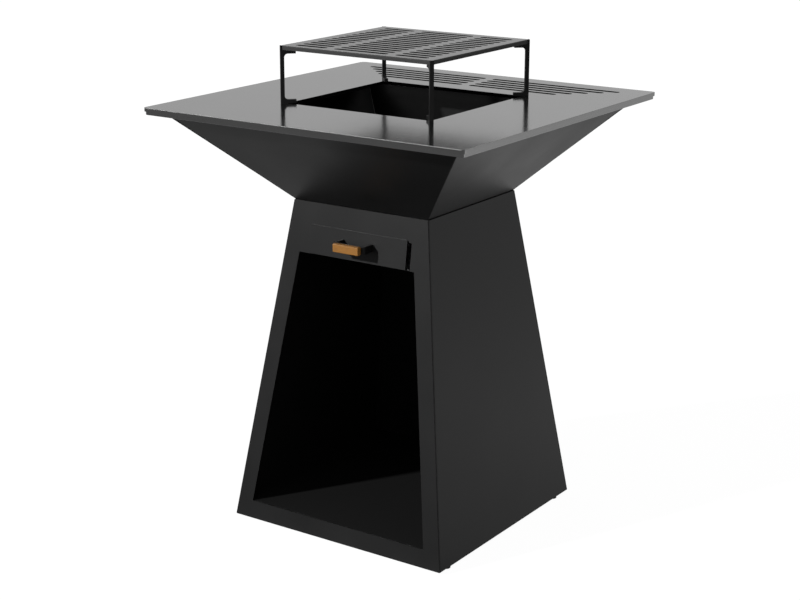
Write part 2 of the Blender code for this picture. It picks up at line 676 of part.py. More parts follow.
def build_leg(name, bearing, corner_reach, grate, body):
    """One leg on a diagonal of the grate, whose ear stands outside the grate's corner."""
    height = GRATE_LIFT - SEAT_GAP - WELD_GAP
    top = GRATE_LIFT - SEAT_GAP + GRATE_THICK
    post, arm, r = LEG_WIDTH, LEG_ARM_HEIGHT, LEG_FILLET
    outline = ([(0, 0), (LEG_REACH, 0), (LEG_REACH, arm)]
               + arc((post + r, arm + r), r, 270, 180)
               + arc((post + r, height - arm - r), r, 180, 90)
               + [(LEG_REACH, height - arm), (LEG_REACH, height), (LEG_EAR, height),
                  (LEG_EAR, top), (0, top)])
    leg = flat_piece(f"grate_leg_{name}", [outline], LEG_THICK, LEG_PAINT, body)
    outward = Vector((cos(bearing), sin(bearing), 0))
    leg.location = outward * corner_reach + Vector((0, 0, PLATE_TOP_Z + SEAT_GAP))
    leg.rotation_euler = (pi / 2, 0, bearing + pi)

    centre = outward * (corner_reach - LEG_SCREW_INSET)
    shank, head = LEG_SCREW_DIAMETER / 2, LEG_SCREW_HEAD_DIAMETER / 2
    under_head = GRATE_BOTTOM_Z - WELD_GAP - arm + LEG_SCREW_SINK - SEAT_GAP
    tip = GRATE_BOTTOM_Z + LEG_SCREW_BITE
    profile = ([(0, tip), (shank, tip), (shank, under_head)]
               + domed_head(head, under_head, -LEG_SCREW_HEAD_HEIGHT)[::-1]
               + [(0, under_head - LEG_SCREW_HEAD_HEIGHT)])
    screw = turned_piece(f"grate_screw_{name}", profile, FASTENER_STEEL, body)
    screw.location = (centre.x, centre.y, 0)
    hole_bottom = under_head
    hole_top = tip + SCREW_CLEARANCE
    hole = round_cutter(f"grate_screw_hole_{name}", LEG_SCREW_DIAMETER + 2 * SCREW_CLEARANCE,
                        hole_top - hole_bottom, (centre.x, centre.y, (hole_top + hole_bottom) / 2))
    seat = round_cutter(f"grate_screw_seat_{name}", LEG_SCREW_HEAD_DIAMETER + 2 * SCREW_CLEARANCE,
                        2 * LEG_SCREW_SINK, (centre.x, centre.y, GRATE_BOTTOM_Z - WELD_GAP - arm))
    cut(leg, hole)
    cut(leg, seat)
    cut(grate, hole)


def build_ash_shelf():
    """Shelf under the drawer, whose tongue closes the foot of the drawer opening."""
    half = pedestal_inner_half(SHELF_TOP_Z) - WELD_GAP
    tongue = pedestal_half(SHELF_TOP_Z) - SHELF_TONGUE_SETBACK
    left, right = DRAWER_OPENING_LEFT + WELD_GAP, DRAWER_OPENING_RIGHT - WELD_GAP
    outline = [(-half, -half), (left, -half), (left, -tongue), (right, -tongue), (right, -half),
               (half, -half), (half, half), (-half, half)]
    shelf = flat_piece("ash_shelf", [outline], SHELF_SHEET, BLACK_PAINT)
    shelf.location.z = SHELF_TOP_Z - SHELF_SHEET / 2
    length = 2 * (pedestal_inner_half(SHELF_TOP_Z + GUIDE_HEIGHT) - 2 * WELD_GAP)
    base = SHELF_TOP_Z + WELD_GAP
    for name, sign in (("right_drawer_guide", 1), ("left_drawer_guide", -1)):
        near = TRAY_WIDTH / 2 + GUIDE_PLAY
        far = near + GUIDE_WIDTH
        profile = [(near, base), (far, base), (far, base + GUIDE_SHEET),
                   (near + GUIDE_SHEET, base + GUIDE_SHEET),
                   (near + GUIDE_SHEET, base + GUIDE_HEIGHT), (near, base + GUIDE_HEIGHT)]
        points = [(DRAWER_CENTRE_X + sign * x, z) for x, z in profile]
        guide = flat_piece(name, [points], length, ZINC_SHEET)
        guide.rotation_euler = (pi / 2, 0, 0)


def build_ash_chute():
    """Square funnel from the ash hole down to just above the drawer."""
    top_half = ASH_HOLE_SIDE / 2 + CHUTE_LIP
    bottom_half = CHUTE_BOTTOM_SIDE / 2
    bottom_z = TRAY_TOP_Z + CHUTE_CLEARANCE
    mouth_z = PEDESTAL_TOP_Z - TOP_PLATE_SHEET - WELD_GAP
    lean = sin(atan((top_half - bottom_half) / (mouth_z - bottom_z)))
    inner_rim_rise = CHUTE_SHEET * 2 * lean / (1 + lean ** 2)
    top_z = mouth_z - inner_rim_rise
    bm = bmesh.new()
    bmesh.ops.create_cone(bm, cap_ends=False, segments=4, radius1=bottom_half * sqrt(2),
                          radius2=top_half * sqrt(2), depth=top_z - bottom_z)
    bmesh.ops.rotate(bm, verts=bm.verts, matrix=Matrix.Rotation(pi / 4, 3, "Z"))
    chute = mesh_object("ash_chute", bm, ZINC_SHEET)
    chute.location.z = (top_z + bottom_z) / 2
    wall_inward(chute, CHUTE_SHEET)


def build_drawer(body):
    """Open tray with a sloping front, and the overlapping front plate."""
    tray = mesh_object("ash_tray", tray_bmesh(), ZINC_SHEET, body)
    wall_inward(tray, TRAY_SHEET)
    half = DRAWER_FRONT_WIDTH / 2
    outline = rectangle(DRAWER_CENTRE_X - half, up_wall(DRAWER_FRONT_BOTTOM_Z),
                        DRAWER_CENTRE_X + half, up_wall(DRAWER_FRONT_TOP_Z), DRAWER_FRONT_RADIUS)
    front = flat_piece("drawer_front", [outline], DRAWER_FRONT_SHEET, BLACK_PAINT, body)
    lean_on_wall(front, 0, SEAT_GAP + DRAWER_FRONT_SHEET / 2)


def tray_bmesh():
    """Outside of the tray, open at the top, its front in the plane of the wall."""
    back = pedestal_inner_half(TRAY_TOP_Z) - TRAY_BACK_PLAY
    bm = box_bmesh((TRAY_WIDTH, 2, 2))
    for vert in bm.verts:
        z = TRAY_TOP_Z if vert.co.z > 0 else TRAY_BOTTOM_Z
        y = -pedestal_half(z) if vert.co.y < 0 else back
        vert.co = (vert.co.x + DRAWER_CENTRE_X, y, z)
    lid = max(bm.faces, key=lambda face: face.calc_center_median().z)
    bmesh.ops.delete(bm, geom=[lid], context="FACES_ONLY")
    return bm


def build_handle(body):
    """Wooden grip on a bent flat bar whose ends meet the sloping drawer front."""
    grip_front = -pedestal_half(HANDLE_Z) - HANDLE_STAND_OFF
    bar_front = grip_front + GRIP_DEPTH + SEAT_GAP
    bar_back = bar_front + BRACKET_BAR
    half, bend = BRACKET_SPAN / 2, BRACKET_BEND
    inner = bend - BRACKET_BAR
    end = -pedestal_half(HANDLE_Z) - bar_front
    outline = ([(-half, end)]
               + arc((-half + bend, bend), bend, 180, 270) + arc((half - bend, bend), bend, 270, 360)
               + [(half, end), (half - BRACKET_BAR, end)]
               + arc((half - bend, bend), inner, 360, 270) + arc((-half + bend, bend), inner, 270, 180)
               + [(-half + BRACKET_BAR, end)])
    bracket = flat_piece("handle_bracket", [outline], BRACKET_HEIGHT, LEG_PAINT, body)
    bracket.location = (DRAWER_CENTRE_X, bar_front, HANDLE_Z)
    depth = 2 * HANDLE_STAND_OFF
    slope = place_cutter("handle_slope", box_bmesh((2 * BRACKET_SPAN, 4 * BRACKET_HEIGHT, depth),
                                                   (DRAWER_CENTRE_X, up_wall(HANDLE_Z), 0)))
    lean_on_wall(slope, 0, SEAT_GAP + DRAWER_FRONT_SHEET + WELD_GAP - depth / 2)
    cut(bracket, slope)

    grip = mesh_object("handle_grip", box_bmesh((GRIP_LENGTH, GRIP_DEPTH, GRIP_HEIGHT)), OAK, body)
    grip.location = (DRAWER_CENTRE_X, grip_front + GRIP_DEPTH / 2, HANDLE_Z)
    round_edges(grip, GRIP_EDGE_ROUND, lambda co: True)

    shank, head = HANDLE_SCREW_DIAMETER / 2, HANDLE_SCREW_HEAD_DIAMETER / 2
    tip = -(SEAT_GAP + BRACKET_BAR + SEAT_GAP + HANDLE_SCREW_BITE)
    profile = ([(0, HANDLE_SCREW_HEAD_HEIGHT)] + domed_head(head, 0, HANDLE_SCREW_HEAD_HEIGHT)
               + [(shank, 0), (shank, tip), (0, tip)])
    for name, sign in (("right", 1), ("left", -1)):
        x = DRAWER_CENTRE_X + sign * HANDLE_SCREW_PITCH / 2
        screw = turned_piece(f"handle_screw_{name}", profile, FASTENER_STEEL, body)
        screw.location = (x, bar_back + SEAT_GAP, HANDLE_Z)
        screw.rotation_euler.x = -pi / 2
        hole_end = bar_back + SEAT_GAP + tip - SCREW_CLEARANCE
        hole = round_cutter(f"handle_screw_hole_{name}", HANDLE_SCREW_DIAMETER + 2 * SCREW_CLEARANCE,
                            bar_back + SEAT_GAP - hole_end,
                            (x, (bar_back + SEAT_GAP + hole_end) / 2, HANDLE_Z), (pi / 2, 0, 0))
        cut(bracket, hole)
        cut(grip, hole)


def build():
    griddle = pivot("griddle", (0, 0, PLATE_BOTTOM_Z))
    raised_grate = pivot("raised_grate", (0, 0, PLATE_TOP_Z))
    fire_bed = pivot("fire_bed", (0, 0, BOWL_FLOOR_TOP_Z))
    drawer = pivot("ash_drawer", (DRAWER_CENTRE_X, -pedestal_half(TRAY_BOTTOM_Z), TRAY_BOTTOM_Z))
    build_pedestal_walls()
    build_pedestal_top()
    build_log_store()
    build_feet()
    build_ash_shelf()
    build_ash_chute()
    build_bowl()
    build_fire_grate(fire_bed)
    build_griddle(griddle)
    build_raised_grate(raised_grate)
    build_drawer(drawer)
    build_handle(drawer)


build()
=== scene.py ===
"""Looks of the plancha barbecue: finished sheets, slotted plates, welds, fasteners and oak grip.

Laid out as a Blender add-on and run as a script. Metres, +Z up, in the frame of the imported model.
"""

from math import cos, pi, radians, sin

import bmesh
import bpy
from bpy.props import FloatProperty, FloatVectorProperty, IntProperty, PointerProperty
from bpy.types import Operator, Panel, PropertyGroup
from mathutils import Matrix, Vector


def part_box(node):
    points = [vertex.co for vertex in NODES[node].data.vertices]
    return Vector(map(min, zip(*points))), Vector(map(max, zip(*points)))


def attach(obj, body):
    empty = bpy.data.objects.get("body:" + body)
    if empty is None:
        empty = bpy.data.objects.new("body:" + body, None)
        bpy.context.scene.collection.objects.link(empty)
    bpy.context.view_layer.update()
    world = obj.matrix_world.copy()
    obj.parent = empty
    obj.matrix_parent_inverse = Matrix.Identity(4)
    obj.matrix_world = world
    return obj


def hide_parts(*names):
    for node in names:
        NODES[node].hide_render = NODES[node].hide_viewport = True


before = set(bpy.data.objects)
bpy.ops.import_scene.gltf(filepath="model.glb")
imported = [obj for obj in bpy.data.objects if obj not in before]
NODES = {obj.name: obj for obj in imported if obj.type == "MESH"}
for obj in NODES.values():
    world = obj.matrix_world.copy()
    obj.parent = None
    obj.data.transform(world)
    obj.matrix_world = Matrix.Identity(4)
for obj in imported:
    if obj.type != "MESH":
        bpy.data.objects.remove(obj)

bl_info = {
    "name": "Plancha barbecue",
    "version": (1, 0, 0),
    "blender": (4, 5, 0),
    "location": "3D View > Sidebar > Barbecue",
    "description": "Makes the finished surfaces of a wood-fired plancha barbecue",
    "category": "Object",
}

SOCKET_TYPES = {int: "NodeSocketInt", float: "NodeSocketFloat"}

# Merging, rounding and steps of the meshes
MERGE = 0.00002
BEVEL_MERGE = 0.00001
RING_MERGE = 0.000005
TREE_MERGE = 0.000002
FLAT_ANGLE = radians(1)
CREASE_ANGLE = radians(30)
EDGE_ANGLE = radians(40)
ARC_STEPS = 8
DOME_STEPS = 4
ROUND_SIDES = 24
HOLE_SIDES = 16
HEXAGON_SIDES = 6
BEAD_SIDES = 8

# Range in which most of a noise texture lies
NOISE_LOW = 0.3
NOISE_HIGH = 0.7

# Soot and painted shade on cut walls, and painted shade inside the pedestal, with the depths under a face
# where it starts on the walls and where it is full
SOOT_AND_SHADE = (0.002, 0.002, 0.002)
SOOT_AND_SHADE_ROUGHNESS = 0.85
SOOT_AND_SHADE_START = 0.00001
SOOT_AND_SHADE_FULL = 0.00008

# Outer edges of the plates: depths where they start and where they are full, their wear, the soot and
# painted shade on the raised grate's edges, and the fire grate's soot
OUTER_START = 0.007
OUTER_FULL = 0.005
WORN_ROUGHNESS = 0.60
WORN_FULL_SHARE = 0.7
GRATE_EDGE_SOOT_AND_SHADE = 0.80
FIRE_GRATE_SOOT = 0.85

# Heights over the fire grate where its soot starts to fade and where it ends
FADE_START = 0.001
FADE_END = 0.004

# Shares of the pedestal's sheet thickness where the painted shade on its inner side starts and where it is
# full
INSIDE_START = 0.4
INSIDE_FULL = 0.7

# Boxes of the solids, and measures that no box gives
PLATE_LOW, PLATE_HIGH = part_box("griddle_plate")
GRATE_LOW, GRATE_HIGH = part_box("grill_grate")
FIRE_LOW, FIRE_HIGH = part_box("fire_grate")
GRIP_LOW, GRIP_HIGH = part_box("handle_grip")
PANEL_LOW, PANEL_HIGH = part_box("front_panel")
BOWL_LOW, BOWL_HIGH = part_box("bowl_right")
PEDESTAL_TOP_HALF = 0.1745
PANEL_SHEET = 0.003
BOWL_SHEET = 0.003
GRATE_SHANK = 0.003
GRATE_HEAD_HEIGHT = 0.0018
HANDLE_SHANK = 0.004
HANDLE_HEAD_HEIGHT = 0.0025
BOLT_HEAD_HEIGHT = 0.0045
NUT_CORNER_SHARE = 0.6
FOOT_WAIST_SHARE = 0.45
BEAD_NOISE = 90.0
PEDESTAL_BEAD_STOP = 3

# Oak grip: its pith behind and below it, the width of a year ring and how far a ring wanders
PITH_BEHIND = 0.018
PITH_BELOW = 0.034
RING_WIDTH = 0.0024
RING_WANDER = 0.004
WANDER_STRETCH = (12, 90, 90)

# Grain of the oak: its late wood and its pores
LATE_POWER = 2.2
LATE_SHARE = 0.55
PORE_STRETCH = (60, 1500, 1500)
PORE_START = 0.52
PORE_FULL = 0.68
PORE_DEPTH = 0.00012

# Camera and key light
CAMERA_PLACE = (2.0366, -3.0119, 1.5638)
CAMERA_BACK = (0.5473, -0.7877, 0.2828)
CAMERA_LENS = 76.20
CAMERA_SHIFT = (0.0191, 0.0008)
KEY_FROM = (-0.45, -0.785, 0.42)

# Floor: its tone in the light, its glow for the camera, and its level in mirrors at places along Y, a
# painted reflection that is darkest just in front of the object as painted shade
FLOOR_SIDE = 60.0
FLOOR_TONE = 0.80
FLOOR_GLOW = 0.97
FLOOR_FAINT = 0.12
FLOOR_MIRRORED = ((-2.6, 0.115), (-1.5, 0.16), (-0.50, 0.07), (-0.15, 0.33), (1.2, 0.55), (2.6, 0.38))

# Sky in mirrors: its level in front and behind, reached at this slope along Y
SKY_FRONT = 0.17
SKY_BACK = 0.50
SKY_SLOPE = 0.9


def length(label, about, value):
    return FloatProperty(name=label, description=about, default=value, min=0.0, unit="LENGTH", precision=5)


def share(label, about, value):
    return FloatProperty(name=label, description=about, default=value, min=0.0, max=1.0, subtype="FACTOR")


def colour(label, about, value):
    return FloatVectorProperty(name=label, description=about, default=value, min=0.0, max=1.0,
                               size=3, subtype="COLOR")


def count(label, about, value):
    return IntProperty(name=label, description=about, default=value, min=1)


class GriddlePlateSizes(PropertyGroup):
    side: length("Side", "Side of the square griddle plate", PLATE_HIGH.x - PLATE_LOW.x)
    corner_radius: length("Corner radius", "Radius of the plate's corners seen from above", 0.010)
    edge_round: length("Edge rounding", "Rounding of the plate's outer edges", 0.0012)
    rim_round: length("Slot rim rounding", "Rounding along the slots and the fire hole", 0.0)
    hole_side: length("Fire hole", "Side of the square fire hole", 0.368)
    hole_radius: length("Fire hole radius", "Radius of the fire hole's corners", 0.004)
    rows: count("Rows", "Rows of searing slots", 5)
    pitch: length("Pitch", "Distance from one row of slots to the next", 0.0257)
    last_row_inset: length("Last row inset", "Distance of the last row from the back edge", 0.0552)
    slot_width: length("Slot width", "Width of a searing slot", 0.014)
    web: length("Web", "Steel left between the two slots of a row", 0.020)
    end_inset: length("End inset", "How much sooner a slot ends than its row is far from the middle", 0.008)


class GrillGrateSizes(PropertyGroup):
    side: length("Side", "Side of the square grill grate", GRATE_HIGH.x - GRATE_LOW.x)
    corner_radius: length("Corner radius", "Radius of the grate's corners seen from above", 0.0035)
    edge_round: length("Edge rounding", "Rounding of the grate's outer edges", 0.003)
    rim_round: length("Slot rim rounding", "Rounding along the slots", 0.0)
    rows: count("Rows", "Rows of slots", 14)
    pitch: length("Pitch", "Distance from one row of slots to the next", 0.0252)
    first_row_inset: length("First row inset", "Distance of the first row from the front edge", 0.02525)
    slot_width: length("Slot width", "Width of a slot", 0.0138)
    middle_slot: length("Middle slot", "Length of the slots in the middle column", 0.135)
    rib: length("Rib", "Steel left between two columns of slots", 0.020)
    side_margin: length("Side margin", "Steel left between the slots and the side edges", 0.0243)


class FireGrateSizes(PropertyGroup):
    side: length("Side", "Side of the square fire grate", FIRE_HIGH.x - FIRE_LOW.x)
    corner_radius: length("Corner radius", "Radius of the grate's corners seen from above", 0.006)
    edge_round: length("Edge rounding", "Rounding of the grate's outer edges", 0.0015)
    rim_round: length("Slot rim rounding", "Rounding along the slots", 0.0006)
    rows: count("Rows", "Rows of slots", 11)
    pitch: length("Pitch", "Distance from one row of slots to the next", 0.0225)
    slot_width: length("Slot width", "Width of a slot", 0.010)
    web: length("Web", "Steel left between the two slots of a row", 0.012)
    margin: length("Margin", "Steel left between the slots and the side edges", 0.018)


class FastenerSizes(PropertyGroup):
    play: length("Hole play", "Play between a screw and the rim of its hole", 0.0002)
    bolt_key: length("Bolt key", "Width across flats of the hexagon socket in the bowl bolts", 0.005)
    screw_key: length("Screw key", "Width across flats of the hexagon socket in the small screws", 0.002)
    socket_share: share("Socket depth", "Depth of a hexagon socket as a share of its head", 0.6)
    rim_share: share("Head rim", "Upright rim of a domed head as a share of its height", 0.25)
    chamfer: length("Chamfer", "Chamfer at a shank's tip", 0.0005)
    stud: length("Stud", "Diameter of the feet's studs and of the bowl bolts", 0.008)
    foot_round: length("Foot rounding", "Rounding of the foot where it meets the floor", 0.0008)
    foot_waist: length("Foot waist", "How far the foot narrows at its top", 0.0013)


class WeldSizes(PropertyGroup):
    inner: length("Inner bead", "Radius of the weld beads inside the bowl", 0.0012)
    outer: length("Outer bead", "Radius of the ground beads on the bowl's outer corners", 0.0011)
    rim: length("Rim bead", "Radius of the bead between the bowl and its rim", 0.0020)
    pedestal: length("Pedestal bead", "Radius of the beads inside the pedestal's corners", 0.0014)
    ripple: share("Ripple", "Change of a bead's radius from ripple to ripple", 0.10)
    ripple_pitch: length("Ripple pitch", "Distance from one ripple to the next", 0.0032)
    step: length("Step", "Distance between two rings of a bead", 0.0008)


class EdgeSizes(PropertyGroup):
    panel: length("Panel edges", "Rounding of the pedestal's cut sheet edges", 0.0004)
    bowl: length("Bowl edges", "Rounding of the bowl's sheet edges", 0.0004)
    rim: length("Rim edges", "Rounding of the flat rim under the griddle plate", 0.0010)
    front: length("Drawer front edges", "Rounding of the drawer front's edges", 0.0002)
    bar: length("Bar edges", "Rounding of the flat bars of the legs and the handle", 0.0006)
    thin: length("Thin sheet edges", "Rounding of the thin zinc sheets' edges", 0.0002)
    grip: length("Grip edges", "Rounding of the wooden grip's edges", 0.0020)


class FinishColours(PropertyGroup):
    powder_coat: colour("Powder coat", "Satin black coat of the pedestal", (0.008, 0.008, 0.0082))
    bowl_coat: colour("Bowl coat", "Heat-proof black coat of the fire bowl", (0.008, 0.008, 0.0082))
    griddle: colour("Griddle steel", "Oiled dark steel of the griddle plate and its rim", (0.49, 0.49, 0.49))
    grate: colour("Grate steel", "Dark steel of the grates", (0.46, 0.46, 0.46))
    leg_coat: colour("Leg coat", "Matt black coat of the legs and the handle bracket", (0.006, 0.006, 0.006))
    zinc: colour("Zinc", "Galvanised sheet inside the pedestal", (0.50, 0.51, 0.52))
    fastener: colour("Fastener steel", "Plain steel of the bolts and nuts", (0.42, 0.42, 0.43))
    oak_light: colour("Oak, light", "Early wood of the oiled oak grip", (0.42, 0.185, 0.030))
    oak_dark: colour("Oak, dark", "Late wood and pores of the oiled oak grip", (0.17, 0.060, 0.010))
    glide: colour("Glide", "Black plastic of the feet", (0.015, 0.015, 0.015))


class StudioSettings(PropertyGroup):
    key_strength: FloatProperty(name="Key light", description="Strength of the key light",
                                default=2.4, min=0.0)
    key_angle: FloatProperty(name="Key light size", description="Width of the key light in the sky",
                             default=radians(3), min=0.0, subtype="ANGLE")
    ambient: share("Ambient", "Brightness of the light from all round", 0.22)


class BarbecueSettings(PropertyGroup):
    griddle: PointerProperty(type=GriddlePlateSizes, name="Griddle plate")
    grill: PointerProperty(type=GrillGrateSizes, name="Grill grate")
    fire: PointerProperty(type=FireGrateSizes, name="Fire grate")
    fasteners: PointerProperty(type=FastenerSizes, name="Fasteners")
    welds: PointerProperty(type=WeldSizes, name="Welds")
    edges: PointerProperty(type=EdgeSizes, name="Edges")
    colours: PointerProperty(type=FinishColours, name="Colours")
    studio: PointerProperty(type=StudioSettings, name="Studio")


def settings():
    return bpy.context.scene.plancha_barbecue


# Node trees

class Value:
    """What a node works out; sums with it add Math nodes to its tree."""

    def __init__(self, tree, socket):
        self.tree = tree
        self.socket = socket

    def __add__(self, other):
        return calc(self.tree, "ADD", self, other)

    def __sub__(self, other):
        return calc(self.tree, "SUBTRACT", self, other)

    def __rsub__(self, other):
        return calc(self.tree, "SUBTRACT", other, self)

    def __mul__(self, other):
        return calc(self.tree, "MULTIPLY", self, other)

    def __truediv__(self, other):
        return calc(self.tree, "DIVIDE", self, other)

    def __neg__(self):
        return calc(self.tree, "MULTIPLY", self, -1)


def fill(socket, value):
    """Link a socket to what a node works out, or set it to a plain value."""
    if isinstance(value, Value):
        value.tree.links.new(value.socket, socket)
    else:
        socket.default_value = value


def add_node(tree, kind, inputs=None, **values):
    """Add a node, set its own values, and fill its inputs."""
    node = tree.nodes.new(kind)
    for name, value in values.items():
        setattr(node, name, value)
    for name, value in (inputs or {}).items():
        fill(node.inputs[name], value)
    return node


def made(tree, kind, inputs=None, out=0, **values):
    """What a new node works out: its first output, or the one that out names."""
    return Value(tree, add_node(tree, kind, inputs, **values).outputs[out])


def calc(tree, operation, *values):
    """Result of a Math node."""
    return made(tree, "ShaderNodeMath", dict(enumerate(values)), operation=operation)


def vector(tree, x, y, z):
    return made(tree, "ShaderNodeCombineXYZ", {"X": x, "Y": y, "Z": z})


def axes_of(tree, place):
    """The three coordinates of a place."""
    node = add_node(tree, "ShaderNodeSeparateXYZ", {"Vector": place})
    return [Value(tree, axis) for axis in node.outputs]


def join(tree, parts):
    node = tree.nodes.new("GeometryNodeJoinGeometry")
    for part in parts:
        fill(node.inputs[0], part)
    return Value(tree, node.outputs[0])


def new_tree(name, sizes):
    """Geometry tree with one named input for each size, and one for the material."""
    tree = bpy.data.node_groups.new(name, "GeometryNodeTree")
    tree.interface.new_socket("Geometry", in_out="INPUT", socket_type="NodeSocketGeometry")
    for label, value in sizes.items():
        socket = tree.interface.new_socket(label, in_out="INPUT", socket_type=SOCKET_TYPES[type(value)])
        socket.default_value = value
    tree.interface.new_socket("Material", in_out="INPUT", socket_type="NodeSocketMaterial")
    tree.interface.new_socket("Geometry", in_out="OUTPUT", socket_type="NodeSocketGeometry")
    return tree, {item.name: Value(tree, item) for item in add_node(tree, "NodeGroupInput").outputs}


def end_tree(tree, given, geometry):
    """Real faces, smooth but for their creases, in the material that is given."""
    real = made(tree, "GeometryNodeRealizeInstances", {"Geometry": geometry})
    clean = made(tree, "GeometryNodeMergeByDistance", {"Geometry": real, "Distance": TREE_MERGE})
    soft = made(tree, "GeometryNodeSetShadeSmooth", {0: clean, "Shade Smooth": True})
    crease = calc(tree, "GREATER_THAN", made(tree, "GeometryNodeInputMeshEdgeAngle"), CREASE_ANGLE)
    smooth = made(tree, "GeometryNodeSetShadeSmooth",
                  {0: soft, "Selection": crease, "Shade Smooth": False}, domain="EDGE")
    painted = made(tree, "GeometryNodeSetMaterial", {"Geometry": smooth, "Material": given["Material"]})
    add_node(tree, "NodeGroupOutput", {0: painted})
    return tree


def new_object(name, data):
    obj = bpy.data.objects.new(name, data)
    bpy.context.scene.collection.objects.link(obj)
    return obj


def plain(obj):
    """Turn what an object's modifiers make into its own mesh."""
    bpy.context.view_layer.update()
    graph = bpy.context.evaluated_depsgraph_get()
    mesh = bpy.data.meshes.new_from_object(obj.evaluated_get(graph), preserve_all_data_layers=True,
                                           depsgraph=graph)
    obj.modifiers.clear()
    old = obj.data
    obj.data = mesh
    bpy.data.meshes.remove(old)
    mesh.name = obj.name
    return obj


def grow(name, tree, sizes, slot, host=None):
    """Object that a tree makes with these sizes, as a plain mesh in the slot's material."""
    obj = new_object(name, host or bpy.data.meshes.new(name))
    modifier = obj.modifiers.new(tree.name, "NODES")
    modifier.node_group = tree
    values = dict(sizes, Material=finish(slot))
    for item in tree.interface.items_tree:
        if item.in_out == "INPUT" and item.name in values:
            modifier[item.identifier] = values[item.name]
    return plain(obj)


def moved(tree, geometry, offset):
    return made(tree, "GeometryNodeTransform", {"Geometry": geometry, "Translation": offset})


def frustum(tree, low_radius, high_radius, low, high, sides, caps):
    """Upright cone without its tip, or a prism, with or without its two end faces."""
    body = made(tree, "GeometryNodeMeshCone",
                {"Vertices": sides, "Side Segments": 1, "Radius Bottom": low_radius,
                 "Radius Top": high_radius, "Depth": high - low}, fill_type=caps)
    return moved(tree, body, vector(tree, 0, 0, low))


def turned(tree, rings, sides):
    """Turned surface through rings, each a radius and a height, from the lowest one up."""
    bands = [frustum(tree, low_radius, high_radius, low, high, sides, "NONE")
             for (low_radius, low), (high_radius, high) in zip(rings, rings[1:])]
    return made(tree, "GeometryNodeMergeByDistance", {"Geometry": join(tree, bands), "Distance": RING_MERGE})


def prism(tree, radius, low, high, sides):
    """Upright prism round the Z axis."""
    return frustum(tree, radius, radius, low, high, sides, "NGON")


def boolean(tree, operation, first, second):
    """Cut the second body out of the first one, or keep only what both share."""
    node = add_node(tree, "GeometryNodeMeshBoolean", operation=operation, solver="EXACT")
    fill(node.inputs[0 if operation == "DIFFERENCE" else 1], first)
    fill(node.inputs[1], second)
    return Value(tree, node.outputs[0])


def placed(tree, points, body, tilt, turn):
    """A body on each point, tilted about X and turned about Z."""
    return made(tree, "GeometryNodeInstanceOnPoints",
                {"Points": points, "Instance": body, "Rotation": vector(tree, tilt, 0, turn)})


def host_mesh(name, points, edges=()):
    mesh = bpy.data.meshes.new(name)
    mesh.from_pydata([tuple(point) for point in points], edges, [])
    return mesh


# Finishes

def object_place(tree):
    """Where a point lies on the part's own coordinates."""
    return made(tree, "ShaderNodeTexCoord", out="Object")


def object_axes(tree):
    """The part's own coordinates, as three values."""
    return axes_of(tree, object_place(tree))


def side_reach(tree, axes):
    """Distance from the middle along X or along Y, whichever is more."""
    return calc(tree, "MAXIMUM", calc(tree, "ABSOLUTE", axes[0]), calc(tree, "ABSOLUTE", axes[1]))


def noise(tree, scale, detail, stretch=(1, 1, 1), place=None):
    """Noise stretched along the axes, on the part's own coordinates if no place is given."""
    spread = made(tree, "ShaderNodeMapping", {"Vector": place or object_place(tree), "Scale": stretch})
    return made(tree, "ShaderNodeTexNoise", {"Vector": spread, "Scale": scale, "Detail": detail})


def between(tree, value, low, high, from_low=NOISE_LOW, from_high=NOISE_HIGH):
    """A value of a texture, spread between two results."""
    return made(tree, "ShaderNodeMapRange", {"Value": value, "From Min": from_low, "From Max": from_high,
                                             "To Min": low, "To Max": high})


def mixed(tree, factor, first, second):
    """One colour over another; each is a plain one or worked out by a node."""
    node = add_node(tree, "ShaderNodeMix", {"Factor": factor}, data_type="RGBA")
    for socket, tone in ((node.inputs[6], first), (node.inputs[7], second)):
        fill(socket, tone if isinstance(tone, Value) else (*tone, 1))
    return Value(tree, node.outputs[2])


def mottled(tree, factor, tone, darkest, lightest):
    """A tone from its darkest to its lightest shade, each a share of it."""
    shades = (tuple(shade * part for part in tone) for shade in (darkest, lightest))
    return mixed(tree, factor, *shades)


def bump(tree, height, depth):
    return made(tree, "ShaderNodeBump", {"Height": height, "Distance": depth, "Strength": 1.0})


def new_finish(name):
    material = bpy.data.materials.new(name + "_finish")
    material.use_nodes = True
    tree = material.node_tree
    return material, tree, tree.nodes["Principled BSDF"]


def wire(shader, **inputs):
    """Fill a shader's inputs, each named by its label in small letters."""
    for name, value in inputs.items():
        fill(shader.inputs[name.replace("_", " ").title()], value)


def sooted_and_shaded(tree, tint, roughness, dull):
    """Colour and roughness under soot and painted shade, as far as dull reaches, from 0 to 1."""
    cover = dull(tree)
    return mixed(tree, cover, tint, SOOT_AND_SHADE), between(tree, cover, roughness, SOOT_AND_SHADE_ROUGHNESS, 0, 1)


def coat(name, tone, least, most, peel_scale, peel_depth, sheen=0.5, dull=None):
    """Sprayed or powdered coat: soft patches, least to most rough, over a fine orange peel.

    sheen is how strongly it mirrors, 0.5 for glass. dull is as for sooted.
    """
    material, tree, shader = new_finish(name)
    patches = noise(tree, scale=7.0, detail=4.0)
    peel = noise(tree, peel_scale, detail=3.0)
    tint = mottled(tree, between(tree, patches, 0, 1), tone, darkest=0.92, lightest=1.08)
    roughness = between(tree, patches, least, most) + between(tree, peel, -0.02, 0.02)
    if dull:
        tint, roughness = sooted_and_shaded(tree, tint, roughness, dull)
    wire(shader, base_color=tint, roughness=roughness, normal=bump(tree, peel, peel_depth))
    shader.inputs["Specular IOR Level"].default_value = sheen
    return material


